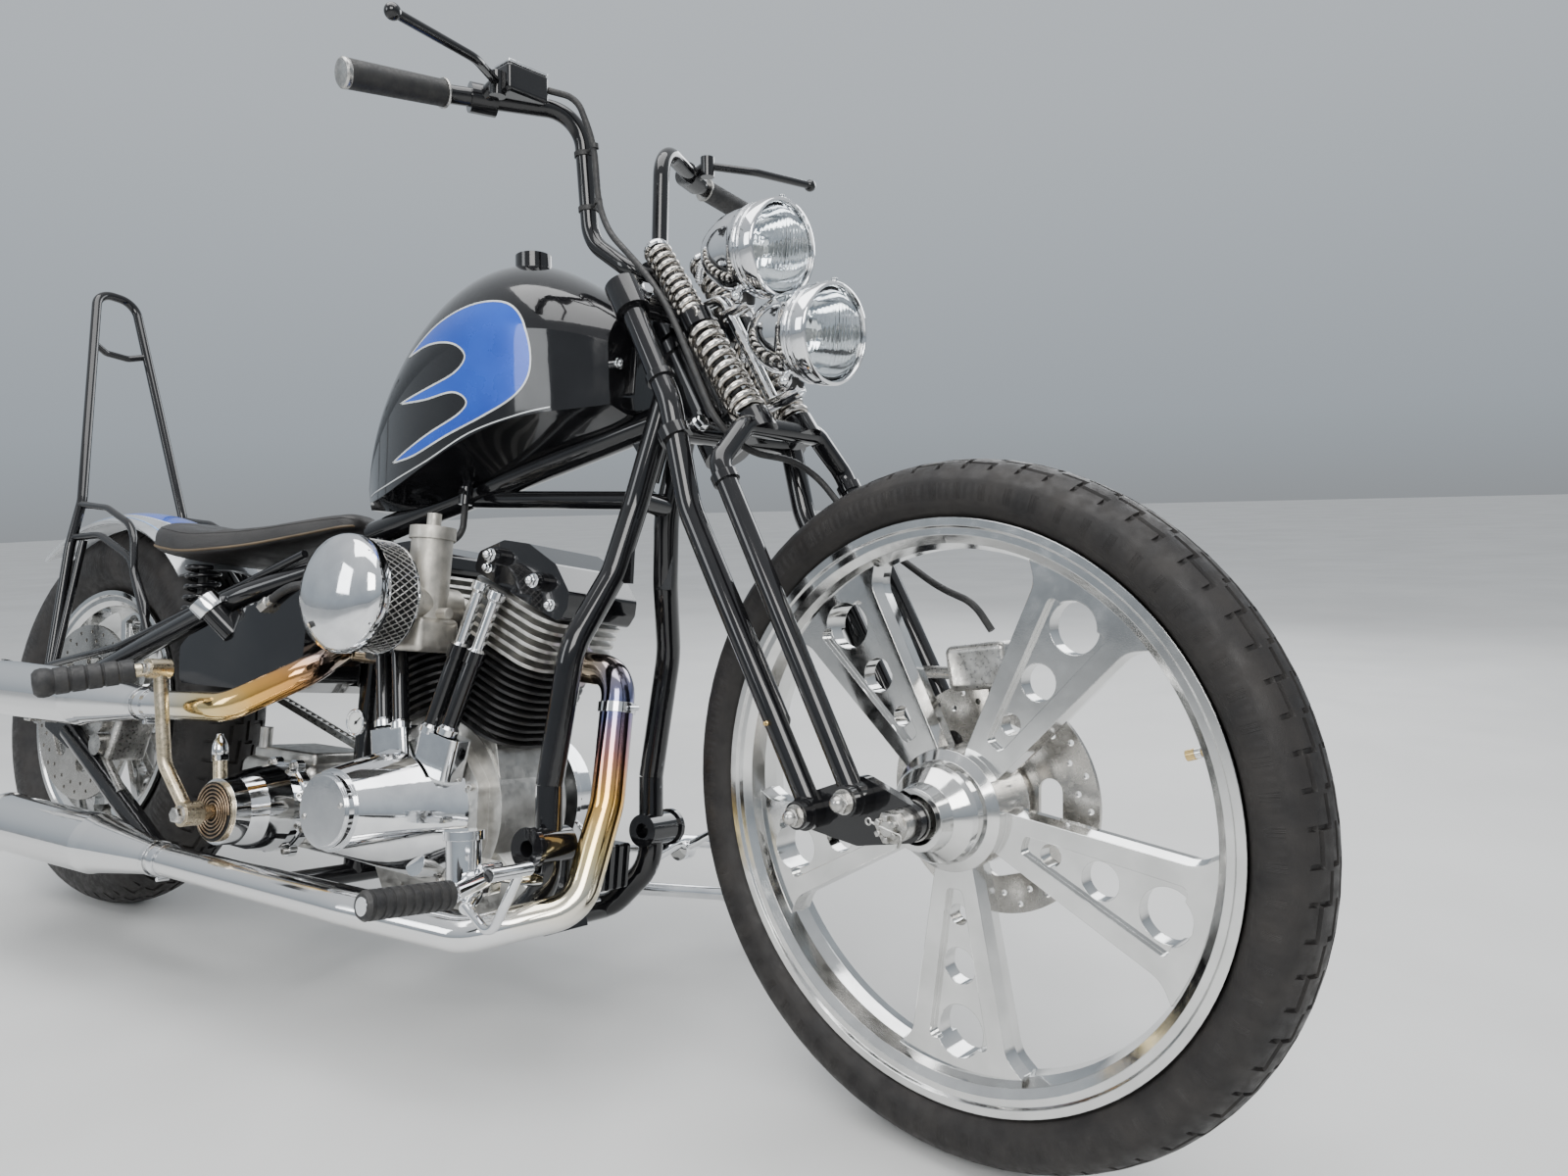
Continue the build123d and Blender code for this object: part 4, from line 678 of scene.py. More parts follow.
def headlamps():
    shells, lenses, bulbs, trims, clamps = [], [], [], [], []
    for rim_place, back_place in LAMPS:
        rim = steer_point(*rim_place)
        axis = (rim - steer_point(*back_place)).normalized()
        back = rim - axis * LAMP_LENGTH
        up = Vector((-axis.z, 0, axis.x))
        across = up.cross(axis)
        shells.append(revolved(LAMP_OUTSIDE + LAMP_INSIDE, back, axis, 72))
        foot = back + axis * 62 - up * 44
        shells.append(revolved(LAMP_FOOT, foot, -up, 28))
        lenses.append(fluted_lens(back, axis, up, across))
        bulbs.append(revolved(LAMP_BULB, back, axis, 28))
        trims.append(hex_bolt(6, back + axis * 109 + up * 56, up))
        for low in SHELL_BEADS:
            bead = [(52.8, low), (54.4, low + 0.6), (54.4, low + 3.4), (52.8, low + 4)]
            trims.append(ring_shape(bead, back, axis, 72))
        conduit = smooth_line([back + axis * 3, back - axis * 8 - up * 2, back - axis * 17 - up * 12,
                               back - axis * 19 - up * 30], 6)
        trims.append(tube(conduit, 3.8, 12))
        trims += [washer(4.9, 1.3, low, high - low) for low, high in zip(conduit, conduit[1:])]
        trims.append(revolved(CLAMP_BOLT, foot - up * 9 + RIGHT * 11, RIGHT, 28))
        clamps.append(ring_shape([(9.2, 3), (12.4, 3), (12.4, 15), (9.2, 15)], foot, -up, 36))
    make("headlamp_clamps", "steering", joined(*clamps), "rubber")
    make("headlamp_bowls", "steering", joined(*shells), "chrome", 50.0, ("headlamp_shells",))
    make("headlamp_glasses", "steering", joined(*lenses), "lamp_glass", 50.0,
         ("headlamp_lenses",))
    make("headlamp_bulbs", "steering", joined(*bulbs), "porcelain")
    make("headlamp_trims", "steering", joined(*trims), "chrome")


# Where a ray meets a node's surface, in the motorcycle's own frame

def tree_of(node_name, body):
    back = PLACE[body].inverted()
    mesh = frame["nodes"][node_name].data
    return BVHTree.FromPolygons([back @ vertex.co for vertex in mesh.vertices],
                                [list(polygon.vertices) for polygon in mesh.polygons])


def on_surface(node_name, body, place, axis):
    """The point of a node that a fastening facing along an axis sits on."""
    reach = 40
    axis = Vector(axis).normalized()
    hit = tree_of(node_name, body).ray_cast(Vector(place) + axis * reach, -axis)[0]
    return Vector(place) if hit is None else hit


def side_caster(node_name, side):
    """Finds the point of a node beside (x, z), from its right at -1 or its left at 1."""
    tree = tree_of(node_name, "frame")

    def cast(x, z, lift):
        hit, normal, _, _ = tree.ray_cast(Vector((x, side * 400, z)), Vector((0, -side, 0)))
        return None if hit is None else hit + normal * (lift if normal.y * side > 0 else -lift)
    return cast


def round_caster(node_name):
    """Finds the point of the rear fender at an angle in degrees and a distance from its middle."""
    tree = tree_of(node_name, "frame")

    def cast(angle, y, lift):
        outward = upright(1.0, math.radians(angle))
        hit, normal, _, _ = tree.ray_cast(REAR_AXLE + outward * 420 + LEFT * y, -outward)
        return None if hit is None else hit + normal * (lift if normal.dot(outward) > 0 else -lift)
    return cast


# Painted panels and lines. They stand this far off a surface, and their undersides lie in it.
PANEL_LIFT = 0.35
LINE_LIFT = 0.6
PAINT_SINK = -0.25


def laid_panel(outline, spacing, cast):
    """A thin closed sheet that covers an outline on a surface."""
    outline = [Vector(point) for point in outline]
    count = len(outline)
    inner = []
    x = min(point.x for point in outline) + spacing[0] / 2
    while x < max(point.x for point in outline):
        y = min(point.y for point in outline) + spacing[1] / 2
        while y < max(point.y for point in outline):
            inner.append(Vector((x, y)))
            y += spacing[1]
        x += spacing[0]
    edges = [(number, (number + 1) % count) for number in range(count)]
    flat, _, triangles, _, _, _ = geometry.delaunay_2d_cdt(outline + inner, edges, [], 1, 0.01)
    above = [cast(point.x, point.y, PANEL_LIFT) for point in flat]
    below = [cast(point.x, point.y, PAINT_SINK) for point in flat]
    triangles = [list(face) for face in triangles
                 if all(above[corner] is not None and below[corner] is not None for corner in face)]
    used = sorted({corner for face in triangles for corner in face})
    place = {corner: number for number, corner in enumerate(used)}
    half = len(used)
    points = [above[corner] for corner in used] + [below[corner] for corner in used]
    faces = [[place[corner] for corner in face] for face in triangles]
    faces += [[place[corner] + half for corner in reversed(face)] for face in triangles]
    directed = {(a, b) for face in triangles for a, b in zip(face, face[1:] + face[:1])}
    for a, b in sorted(directed):
        if (b, a) not in directed:
            faces.append([place[b], place[a], place[a] + half, place[b] + half])
    return points, faces


def laid_line(line, width, cast, closed=True, scale=(1.0, 1.0)):
    """A thin painted line on a surface, along points whose axes have a scale in millimetres."""
    line = [Vector(point) for point in line]
    count = len(line)
    rings = []
    for number, point in enumerate(line):
        before = line[number - 1] if closed or number else point
        after = line[(number + 1) % count] if closed or number < count - 1 else point
        heading = Vector(((after.x - before.x) * scale[0], (after.y - before.y) * scale[1])).normalized()
        aside = Vector((-heading.y / scale[0], heading.x / scale[1])) * width / 2
        one, other = point + aside, point - aside
        ring = [cast(one.x, one.y, LINE_LIFT), cast(other.x, other.y, LINE_LIFT),
                cast(other.x, other.y, PAINT_SINK), cast(one.x, one.y, PAINT_SINK)]
        if all(corner is not None for corner in ring):
            rings.append(ring)
    points = [corner for ring in rings for corner in ring]
    faces = between_rings(len(rings), 4, closed)
    if not closed:
        faces.append([0, 1, 2, 3])
        faces.append([(len(rings) - 1) * 4 + corner for corner in (3, 2, 1, 0)])
    return points, faces


# A scalloped field on each side of the tank, by the corners of its runs as x, z. Runs meet at tips.
TANK_SCALLOP = [
    [(712, 716), (770, 722), (840, 744), (905, 764), (955, 784), (980, 808), (984, 842), (970, 880),
     (936, 904), (878, 908), (808, 892), (742, 858)],
    [(742, 858), (800, 866), (850, 860), (874, 842), (856, 824), (812, 812), (725, 796)],
    [(725, 796), (790, 794), (850, 798), (876, 784), (858, 768), (800, 748), (712, 716)]]
TANK_CREASE = [(620, 680), (700, 688), (790, 710), (880, 744), (960, 762), (1010, 770)]
# A two-tailed field over the fender, by angle in degrees round the axle and distance from its middle
FENDER_SCALLOP = [
    [(60, 0), (66, 26), (77, 44), (92, 50), (110, 44), (123, 24)],
    [(123, 24), (112, 28), (104, 18), (102, 0), (104, -18), (112, -28), (123, -24)],
    [(123, -24), (110, -44), (92, -50), (77, -44), (66, -26), (60, 0)]]
FENDER_SCALE = (6.1, 1.0)


def outline_of(runs):
    """A closed outline through smooth runs that meet at tips."""
    points = []
    for run in runs:
        points += [point.xy for point in smooth_line([(x, y, 0) for x, y in run], 7)[:-1]]
    return points


def painted_panels():
    panels, white, pale = [], [], []
    outline = outline_of(TANK_SCALLOP)
    crease = [point.xy for point in smooth_line([(x, z, 0) for x, z in TANK_CREASE])]
    for side in (-1, 1):
        cast = side_caster("fuel_tank", side)
        panels.append(laid_panel(outline, (9, 9), cast))
        white.append(laid_line(outline, 2.4, cast))
        white.append(laid_line(crease, 1.6, cast, closed=False))
    cast = round_caster("rear_fender")
    outline = outline_of(FENDER_SCALLOP)
    panels.append(laid_panel(outline, (2.2, 9), cast))
    white.append(laid_line(outline, 2.6, cast, scale=FENDER_SCALE))
    for y in (-60, 60):
        rail = [(angle, y) for angle in range(62, 126, 2)]
        pale.append(laid_line(rail, 2.0, cast, closed=False, scale=FENDER_SCALE))
    make("painted_panels", "frame", joined(*panels), "panel_blue", 60.0)
    make("painted_lines", "frame", joined(*white), "white_line", 60.0)
    make("fender_lines", "frame", joined(*pale), "pale_blue_line", 60.0)


# Seat stations. Columns: x, half width, bottom, top
SEAT = [
    (196, 112, 602, 650), (250, 136, 582, 643), (330, 138, 574, 630), (420, 98, 590, 636),
    (500, 56, 614, 653), (572, 26, 636, 662)]
SEAT_FROM, SEAT_TO = 197.5, 571.5
SEAT_LENGTH = SEAT_TO - SEAT_FROM
# The seat's tail is hollowed to this radius round the rear axle, clear of the fender
TAIL_HOLLOW = 354.5


def seat_row(x):
    """Half width, bottom and top of the seat at a distance along the motorcycle."""
    for (x0, *low), (x1, *high) in zip(SEAT, SEAT[1:]):
        if x <= x1:
            t = (x - x0) / (x1 - x0)
            return [a + (b - a) * t for a, b in zip(low, high)]
    return SEAT[-1][1:]


def rounded_off(distance, run):
    """From nearly 0 at an end to 1 past its rounded run."""
    share = min(1.0, max(0.0, (distance + 0.5) / run))
    return math.sqrt(1 - (1 - share) ** 2)


def seat_point(x, angle):
    """A point on the seat's cover. Angle 0 is the right edge and a quarter turn the crown."""
    nose = rounded_off(SEAT_TO - x, 22)
    plan = rounded_off(x - SEAT_FROM, 62) * nose
    full = rounded_off(x - SEAT_FROM, 24) * nose
    around = [seat_row(min(max(x + shift, SEAT_FROM), SEAT_TO)) for shift in (-24, -12, 0, 12, 24)]
    half, bottom, top = (sum(row[column] for row in around) / 5 for column in range(3))
    if x < 340:
        bottom = max(bottom, REAR_RADIUS + math.sqrt(TAIL_HOLLOW ** 2 - x * x))
    edge = bottom + (top - bottom) * 0.36
    c, s = math.cos(angle), math.sin(angle)
    y = -half * plan * math.copysign(abs(c) ** 0.62, c)
    if s < 0:
        return Vector((x, y, edge - (edge - bottom) * full * abs(s) ** 0.5))
    hollow = 8.0 * math.exp(-((x - 330) / 90) ** 2) * s * (1 - min(1.0, abs(y) / (half * 0.8)) ** 2)
    crease = noise.noise(Vector((x / 34, y / 26, 3.1))) * 0.9 * s
    gather = math.sin(x / 4.2 + 2 * noise.noise(Vector((x / 20, y / 20, 0)))) * 0.35 * max(0.0, 1 - s * 3)
    return Vector((x, y, edge + (top - edge) * full * s ** 0.62 - hollow + crease + gather))


def seat():
    rows, around = 84, 72
    points = []
    for row in range(rows + 1):
        t = row / rows
        x = SEAT_FROM + SEAT_LENGTH * (t - 0.10 * math.sin(2 * math.pi * t))
        points += [seat_point(x, 2 * math.pi * (step + 0.5) / around) for step in range(around)]
    faces = between_rings(rows + 1, around)
    faces.append(list(range(around))[::-1])
    faces.append([rows * around + step for step in range(around)])
    cover = make("seat_cover", "frame", (points, faces), "leather", 70.0, ("seat",))
    for name, turn, radius, material in (("seat_piping", -0.12, 2.0, "tan_piping"),
                                         ("seat_seam", 0.42, 0.9, "leather")):
        xs = [SEAT_FROM + 6 + (SEAT_LENGTH - 12) * step / 60 for step in range(61)]
        line = [seat_point(x, turn) for x in xs] + [seat_point(x, math.pi - turn) for x in reversed(xs)]
        make(name, "frame", tube(line, radius, 8, closed=True), material, 60.0)


# Air cleaner: a domed cover over a ring of expanded metal
AIR_CENTRE = Vector((807, -150.2, 527))
AIR_DOME = [(0, 43), (69, 44), (72, 46), (73, 50), (73, 58), (72, 62), (70, 66), (66, 70), (58, 75.5),
            (50, 80), (38, 83.6), (26, 86), (12, 87.6), (0, 88)]


def air_cleaner():
    plate = revolved([(0, 0), (68, 0), (71, 2), (71, 5), (0, 5)], AIR_CENTRE, RIGHT, 96)
    make("air_cleaner_dome", "frame", joined(revolved(AIR_DOME, AIR_CENTRE, RIGHT, 96), plate), "chrome",
         40.0, ("air_cleaner",))
    matrix = frame_on(RIGHT, AIR_CENTRE)
    strands = []
    count, steps = 46, 12
    for hand in (-1, 1):
        for number in range(count):
            line = []
            for step in range(steps + 1):
                share = step / steps
                angle = 2 * math.pi * (number + hand * share * 3) / count
                line.append(matrix @ polar(69.6 + hand * 0.35, angle, 4.6 + share * 40))
            strands.append(tube(line, 0.8, 5))
    make("air_cleaner_mesh", "frame", joined(*strands), "steel", 60.0)
    # A near-black drum inside the mesh: the filter's own dark colour together with painted shade of the cleaner's
    # inside.
    shade_drum = revolved([(0, 4.5), (65.5, 4.5), (65.5, 44), (0, 44)], AIR_CENTRE, RIGHT, 64)
    make("air_cleaner_filter_painted_shade", "frame", shade_drum, "dark_hole")


# Fastenings

KINDS = {"acorn": acorn, "hex": hex_bolt, "socket": socket_screw, "round": round_screw}
# Screws of the engine's right case, ahead of and above the crank
CASE_SCREWS = [(-101, -17), (-80, 56), (-28, 84), (44, 80), (80, 36), (83, -34), (40, -84), (-61, -78)]
# Nuts on each side of a rocker box. Columns: size, distance along the cylinder, distance across it
ROCKER_NUTS = [(11, 314, -60), (11, 314, 60), (13, 334, -48), (13, 334, 34)]
# How far the primary cover's screws are from its centre line
COVER_RIM = 95


def ring_of(count, radius, centre, start):
    """Points evenly round a centre in an upright plane along the motorcycle."""
    return [centre + upright(radius, start + 2 * math.pi * number / count) for number in range(count)]


def fastened(name, body, finish, rows):
    """One piece of fastenings. Columns of its rows: kind, size, node it sits on, place, way it faces."""
    shapes = [KINDS[kind](size, on_surface(node, body, place, axis), axis)
              for kind, size, node, place, axis in rows]
    make(name, body, joined(*shapes), finish)


def chassis_fastenings():
    fork, legs, axles, tank = [], [], [], []
    for side in (-1, 1):
        out = LEFT * side
        tank.append(("socket", 7, "fuel_tank", Vector((1079, side * 62, 827)), Vector((1, 0, 0))))
        fork.append(("acorn", 17, "fork_rear_legs", steer_point(2, -14, side * 124), out))
        fork.append(("acorn", 18, "fork_front_legs", steer_point(-10, 50, side * 125), out))
        legs.append(("hex", 15, "fork_rear_legs", steer_point(626, 52, side * 84), STEER_AHEAD))
        legs.append(("hex", 15, "fork_rear_legs", steer_point(448, 35, side * 72), STEER_AHEAD))
        axles.append(("hex", 30, "rear_axle", REAR_AXLE + out * 140, out))
    fastened("fork_pivot_nuts", "steering", "steel", fork)
    fastened("fork_bolts", "steering", "chrome", legs)
    fastened("tank_bolts", "frame", "chrome", tank)
    fastened("rear_axle_nuts", "frame", "steel", axles)
    fastened("front_disc_screws", "front_wheel", "steel",
             [("socket", 5, "front_brake_disc", spot, LEFT)
              for spot in ring_of(5, 37, FRONT_AXLE + LEFT * 60, 0.4)])
    fastened("rear_disc_screws", "rear_wheel", "steel",
             [("socket", 5, "rear_brake_disc", spot, RIGHT)
              for spot in ring_of(5, 37, REAR_AXLE + RIGHT * 75.5, 0.4)])
    fastened("sprocket_bolts", "rear_wheel", "steel",
             [("hex", 10, "rear_sprocket", spot, LEFT)
              for spot in ring_of(5, 36, REAR_AXLE + LEFT * 87, 0.6)])


def engine_fastenings():
    nuts = []
    for side in (-1, 1):
        for lean in (CYLINDER_LEAN, -CYLINDER_LEAN):
            for size, distance, across in ROCKER_NUTS:
                spot = cylinder_point(lean, distance, math.copysign(1, lean) * across, side * 66)
                nuts.append(("acorn", size, "rocker_boxes", spot, LEFT * side))
    fastened("rocker_box_nuts", "frame", "chrome", nuts)

    screws = [("socket", 5, "kicker_cover", spot, RIGHT)
              for spot in ring_of(8, 64, KICK_SHAFT + RIGHT * 81, math.radians(22.5))]
    screws += [("socket", 4.5, "engine_crankcase", CRANK + Vector((x, -78, z)), RIGHT)
               for x, z in CASE_SCREWS]
    screws += [("round", 3.6, "cam_cover", spot, RIGHT)
               for spot in ring_of(2, 34, CRANK + Vector((-40, -199, 2)), 0.3)]
    along = (CRANK - KICK_SHAFT).normalized()
    upward = Vector((-along.z, 0, along.x))
    middle = (CRANK + KICK_SHAFT) / 2 + LEFT * 112
    span = (CRANK - KICK_SHAFT).length / 2
    spots = []
    for share in (-1.0, -0.33, 0.33, 1.0):
        spots += [middle + along * span * share + upward * rise for rise in (-COVER_RIM, COVER_RIM)]
    for end in (-1, 1):
        for angle in (-0.9, 0.0, 0.9):
            aside = along * end * math.cos(angle) + upward * math.sin(angle)
            spots.append(middle + along * span * end + aside * COVER_RIM)
    screws += [("round", 2.8, "primary_cover", spot, LEFT) for spot in spots]
    fastened("engine_screws", "frame", "steel", screws)


def axle_nut():
    """Castle nut with a split pin on the right end of the front axle."""
    face = FRONT_AXLE + RIGHT * 116
    shapes = [prism(27, 9, face, RIGHT)]
    for number in range(6):
        angle = math.pi / 3 * (number + 0.5)
        tooth = face + upright(10.2, angle, -11.5)
        shapes.append(rounded_box(tooth, (5.2, 6, 5.2), 0.7, Matrix.Rotation(-angle, 4, "Y")))
    axle_end = [(0, 0), (8.2, 0), (8.2, 13), (7, 14.4), (0, 14.4)]
    shapes.append(revolved(axle_end, face + LEFT * 2, RIGHT, 28))
    make("axle_nut", "steering", joined(*shapes), "steel")
    spot = FRONT_AXLE + RIGHT * 128
    pin = tube(smooth_line([spot + Vector((-17, 0, 4)), spot, spot + Vector((14, 0, -3)),
                            spot + Vector((18, -2, -7)), spot + Vector((15, -3, -14))], 6), 1.3, 8)
    eye = tube(ring_of(12, 3, spot + Vector((-20, 0, 4)), 0.0), 1.0, 6, closed=True)
    make("split_pin", "steering", joined(pin, eye), "steel")


# Small parts. Profiles are turned ones, as radius and height
VALVE = [(0, 0), (4.9, 0), (4.9, 8), (3.4, 9), (3.4, 16), (4.4, 16.5), (4.4, 23), (2.6, 26), (0, 26)]
VALVE_ANGLE = math.radians(18.5)
VALVE_REACH = 238
NIPPLE = [(0, -1), (2.6, -1), (2.6, 3), (1.6, 4), (2.2, 6), (0, 7.5)]
PLUG = [(0, 0), (9, 0), (9, 20), (5, 21), (5, 42), (3, 43), (3, 48), (0, 48)]
GAUGE_CENTRE = Vector((728, -108, 364))
GAUGE_RIM = [(14.5, 0), (17.6, 0), (17.6, 4), (16, 5), (14.5, 4)]
GRIP_END = [(0, 0), (16.2, 0), (17, 1.5), (17, 5), (15, 7), (0, 7)]
GRIP_COLLAR = [(0, 0), (17.2, 0), (17.8, 1.5), (17.2, 3), (0, 3)]
# Clips that hold the brake hose to the bar. Columns: point of the bar's centre, point of the hose's
HOSE_CLIPS = [((1023.6, -64.8, 1108), (1055.3, -73.8, 1108)), ((1025.8, -60.5, 1040), (1058.7, -71.1, 1040))]
RISER_AXIS = Vector((0.031, 0.062, -1))
# Bands where exhaust pipes meet. Columns: centre and the pipe's direction
EXHAUST_BANDS = [((1101.6, -36.1, 410), (0.084, -0.142, -0.986)), ((483, -199.9, 161), (-1, -0.008, 0.02)),
                 ((405, -197.4, 364.6), (-1, -0.044, -0.044))]
# Pushrod tubes. Columns: their cylinder's lean, the foot's distance ahead of the crank, the top's across it
PUSHRODS = [(CYLINDER_LEAN, 57, -8), (CYLINDER_LEAN, 26, -40), (-CYLINDER_LEAN, -26, 40),
            (-CYLINDER_LEAN, -57, 8)]
PEDAL, PEDAL_END = Vector((481, -266, 413)), Vector((442, -364, 391))
PEDAL_BULB = [(18.4, 94), (19, 100), (17.6, 106), (13, 110), (0, 111)]
BREATHER, BREATHER_AXIS = Vector((511, -150, 256)), Vector((-12.5, 0, 70)).normalized()
BREATHER_DOME = [(0, 0), (9.5, 0), (10.5, 3), (10.5, 9), (9.6, 15), (7.4, 21), (4.6, 25), (4.2, 29), (0, 30)]
OIL_CAP = [(0, 0), (21.6, 0), (21.6, 20), (20.4, 23.8), (0, 24.4)]
OIL_UNION, UNION_AXIS = Vector((529, -127, 509)), Vector((0.87, 0.0, 0.49)).normalized()


def wheel_and_fork_parts():
    outward = upright(1.0, VALVE_ANGLE)
    valve = revolved(VALVE, FRONT_AXLE + outward * VALVE_REACH, outward, 20)
    make("tyre_valve", "front_wheel", valve, "brass")
    nipples = [revolved(NIPPLE, steer_point(100, -10, side * 112), LEFT * side, 14) for side in (-1, 1)]
    make("grease_nipples", "steering", joined(*nipples), "brass")


def bar_parts():
    """Grip ends, the brake reservoir's lid and the brake hose's clips."""
    ends = []
    for side in (-1, 1):
        end, inner = Vector((949, side * 337, 1139.7)), Vector((951, side * 218, 1156.6))
        out = (end - inner).normalized()
        ends += [revolved(GRIP_END, end, out, 36), revolved(GRIP_COLLAR, inner - out, out, 36)]
    make("grip_ends", "steering", joined(*ends), "steel")

    lid = [rounded_box((1006, -146, 1190.5), (32, 56, 4), 1.2)]
    lid += [round_screw(2.6, Vector((1006 + dx, -146 + dy, 1192.3)), UP)
            for dx in (-11, 11) for dy in (-22, 22)]
    make("reservoir_lid", "steering", joined(*lid), "chrome")

    clips = []
    for bar, hose in HOSE_CLIPS:
        toward = (Vector(hose) - Vector(bar)).normalized()
        for centre, hole, outside, segments in ((bar, 11.2, 12.6, 32), (hose, 4.2, 5.4, 24)):
            band = [(hole, -3), (outside, -3), (outside, 3), (hole, 3)]
            clips.append(ring_shape(band, centre, RISER_AXIS, segments))
        clips.append(tube([Vector(bar) + toward * 11.6, Vector(hose) - toward * 4.6], 2.0, 10))
    make("hose_clips", "steering", joined(*clips), "rubber")


def gauge():
    make("gauge_rim", "frame", ring_shape(GAUGE_RIM, GAUGE_CENTRE, RIGHT, 40), "chrome")
    make("gauge_face", "frame", washer(14.4, 1.6, GAUGE_CENTRE, RIGHT), "dial_white")
    needle = tube([GAUGE_CENTRE + Vector((-3, -2.2, -3)), GAUGE_CENTRE + Vector((8, -2.2, 7))], 0.6, 6)
    boss = washer(2.2, 1.2, GAUGE_CENTRE + RIGHT * 1.6, RIGHT)
    make("gauge_needle", "frame", joined(needle, boss), "dark_hole")


def engine_parts():
    """Spark plugs, the black lower halves of the pushrod tubes and the exhaust's bands."""
    plugs = [revolved(PLUG, cylinder_point(lean, 262, math.copysign(14, -lean), 54), Vector((0, 1, 0.25)), 24)
             for lean in (CYLINDER_LEAN, -CYLINDER_LEAN)]
    make("spark_plugs", "frame", joined(*plugs), "porcelain")

    sleeves = []
    for lean, ahead, across in PUSHRODS:
        foot = CRANK + Vector((ahead, -104, 100))
        rise = cylinder_point(lean, 300, across, -88) - foot
        half, collar = rise.length * 0.5 - 0.4, rise.length * 0.58 + 0.4
        profile = [(0, 9), (10.5, 12), (10.5, half), (12.5, half), (12.5, collar), (0, collar)]
        sleeves.append(revolved(profile, foot, rise, 32))
    make("pushrod_sleeves", "frame", joined(*sleeves), "gloss_black")

    bands = []
    for centre, axis in EXHAUST_BANDS:
        bands.append(ring_shape([(20.1, -6), (22.4, -6), (22.4, 6), (20.1, 6)], centre, axis, 40))
        screw = Vector(centre) + Vector(axis).normalized().cross(LEFT).normalized() * 25
        bands.append(tube([screw + RIGHT * 8, screw + LEFT * 8], 3.0, 10))
    make("exhaust_bands", "frame", joined(*bands), "chrome")


def kicker_parts():
    """The clock spring in its well over a near-black disc of painted shade, the bolts, the pedal's wraps and the
    breather on the cover.
    """
    turns, steps, outside, pitch = 6, 40, 37.6, 5.0
    spiral = []
    for step in range(turns * steps + 1):
        angle = 2 * math.pi * step / steps
        reach = outside - pitch * step / steps
        spiral.append(KICK_SHAFT + upright(reach, angle, -180))
    make("kicker_spring", "frame", tube(spiral, 1.4, 8), "spring_steel", 60.0)
    # A near-black disc at the bottom of the spring's well: painted shade of the recess.
    make("kicker_well_painted_shade", "frame", washer(39.5, 0.7, KICK_SHAFT + RIGHT * 177.9, RIGHT), "dark_hole")
    bolts = [hex_bolt(13, Vector((489, -254, 417)), RIGHT), hex_bolt(18, KICK_SHAFT + RIGHT * 222, RIGHT)]
    make("kicker_bolts", "frame", joined(*bolts), "steel")

    wraps = [(0, -0.5)]
    for number in range(5):
        low, reach = number * 18, 15.6 + number * 0.4
        wraps += [(reach - 1.4, low), (reach, low + 1.5), (reach, low + 15), (reach - 1.4, low + 16.5)]
    make("kick_pedal_wraps", "frame", revolved(wraps + PEDAL_BULB, PEDAL, PEDAL_END - PEDAL, 36), "rubber")

    stem = revolved([(0, 0), (9, 0), (9, 38), (0, 38)], BREATHER, BREATHER_AXIS, 28)
    make("breather_stem", "frame", stem, "gold_zinc")
    nut = prism(21, 9, BREATHER + BREATHER_AXIS * 38, BREATHER_AXIS)
    dome = revolved(BREATHER_DOME, BREATHER + BREATHER_AXIS * 46, BREATHER_AXIS, 32)
    make("breather_dome", "frame", joined(nut, dome), "chrome")


def oil_tank_parts():
    """The filler's cap, and the union at the top edge with the end of its hose."""
    cap = revolved(OIL_CAP, Vector((424.2, -133.8, 500.7)), Vector((-12, -12, 16)), 48)
    make("oil_cap", "frame", cap, "chrome")
    collar = washer(7.2, 8, OIL_UNION + UNION_AXIS * 17, UNION_AXIS)
    make("oil_union", "frame", joined(prism(17, 17, OIL_UNION, UNION_AXIS), collar), "steel")
    hose = smooth_line([OIL_UNION + UNION_AXIS * 22, OIL_UNION + UNION_AXIS * 44, (590, -124, 540),
                        (616, -112, 545)])
    make("oil_hose", "frame", tube(hose, 6.2, 16), "rubber")


detailed_tyre("front_tyre_tread", "front_tyre", "front_wheel", FRONT_AXLE, FRONT_RADIUS, half_width=46.0,
              rim_radius=281.5, bead_half=22.0, pitches=36, groove=1.7, depth=3.2)
detailed_tyre("rear_tyre_tread", "rear_tyre", "rear_wheel", REAR_AXLE, REAR_RADIUS, half_width=65.0,
              rim_radius=201.0, bead_half=39.0, pitches=32, groove=2.2, depth=4.0)
fork_springs()
seat_springs()
headlamps()
painted_panels()
seat()
air_cleaner()
chassis_fastenings()
engine_fastenings()
axle_nut()
wheel_and_fork_parts()
bar_parts()
gauge()
engine_parts()
kicker_parts()
oil_tank_parts()


# Floor, lights and camera
floor_mesh = bpy.data.meshes.new("floor")
floor_mesh.from_pydata([(-30, -30, 0), (30, -30, 0), (30, 30, 0), (-30, 30, 0)], [], [(0, 1, 2, 3)])
floor = bpy.data.objects.new("floor", floor_mesh)
bpy.context.scene.collection.objects.link(floor)
floor_mesh.materials.append(surface("floor_paint", (0.60, 0.60, 0.59), (0.66, 0.66, 0.65), (0.5, 0.7),
                                    patch=1.5, grain=200.0, bevel=0.0))


def area_light(name, place, target, size, power, colour=(1, 1, 1)):
    light = bpy.data.lights.new(name, "AREA")
    light.shape = "RECTANGLE"
    light.size, light.size_y = size
    light.energy = power
    light.color = colour
    lamp = bpy.data.objects.new(name, light)
    lamp.location = place
    lamp.rotation_euler = (Vector(target) - Vector(place)).to_track_quat("-Z", "Y").to_euler()
    bpy.context.scene.collection.objects.link(lamp)


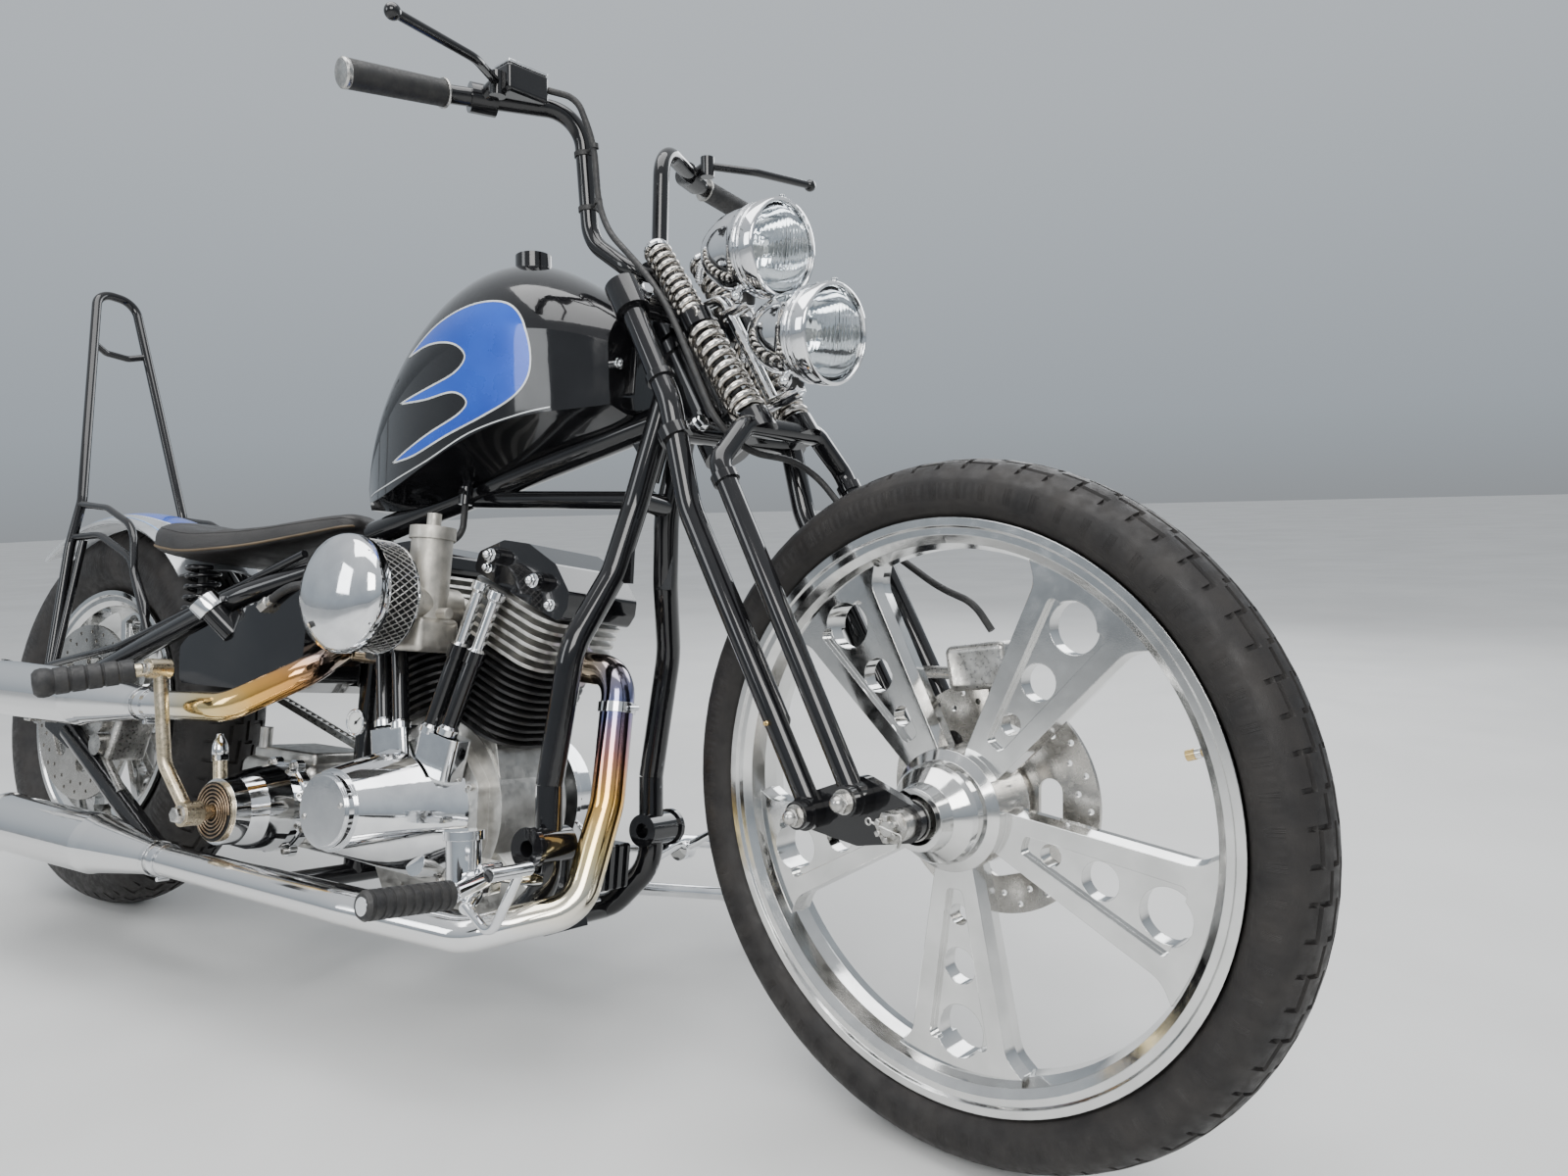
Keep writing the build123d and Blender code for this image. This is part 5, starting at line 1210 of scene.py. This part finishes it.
area_light("overhead", (0.3, -0.4, 3.6), (0.1, 0, 0.4), (3.6, 2.4), 120)
area_light("key", (2.4, -3.2, 2.6), (0.2, 0, 0.5), (2.2, 1.8), 110, (1.0, 0.99, 0.97))
area_light("fill", (-1.7, -3.7, 2.2), (0, 0, 0.5), (1.4, 1.8), 40, (0.95, 0.98, 1.0))
area_light("far_side", (0.4, 3.4, 2.2), (0, 0, 0.5), (3.0, 1.4), 60, (0.96, 0.98, 1.0))

world = bpy.data.worlds.new("studio")
bpy.context.scene.world = world
world.use_nodes = True
tree = world.node_tree
height = add_node(tree, "ShaderNodeSeparateXYZ")
tree.links.new(add_node(tree, "ShaderNodeTexCoord").outputs["Generated"], height.inputs["Vector"])
half_up = calculated(tree, "MULTIPLY_ADD", height.outputs["Z"], 0.5, 0.5)
sky = ramp(tree, half_up, [(0.0, (0.20, 0.20, 0.20)), (0.47, (0.30, 0.31, 0.32)), (0.53, (0.42, 0.47, 0.52)),
                           (0.66, (0.60, 0.65, 0.70)), (1.0, (0.95, 0.97, 1.0))])
tree.links.new(sky, tree.nodes["Background"].inputs["Color"])
tree.nodes["Background"].inputs["Strength"].default_value = 0.9

# The camera as it stood to the motorcycle in the photograph, in the motorcycle's own frame
CAMERA_AT = Vector((1917.3, -1043.9, 468.3))
CAMERA_TURN = Vector((-0.0925, 0.0425, -0.5298))
FOCAL_PIXELS = 1083.9
IMAGE_WIDTH = 1600
turn = Matrix.Rotation(CAMERA_TURN.length, 3, CAMERA_TURN.normalized())
seen = Matrix(((1, 0, 0), (0, 0, -1), (0, 1, 0))) @ turn
right, up, back = Vector(seen[0]), -Vector(seen[1]), -Vector(seen[2])
stance = PLACE["frame"].to_3x3().normalized()
axes = [(stance @ axis).normalized() for axis in (right, up, back)]
camera = bpy.data.objects.new("camera", bpy.data.cameras.new("camera"))
bpy.context.scene.collection.objects.link(camera)
camera.data.sensor_width = 36
camera.data.lens = FOCAL_PIXELS / IMAGE_WIDTH * 36
camera.data.clip_start = 0.02
rotation = Matrix(axes).transposed().to_4x4()
camera.matrix_world = Matrix.Translation(PLACE["frame"] @ CAMERA_AT) @ rotation
bpy.context.scene.camera = camera
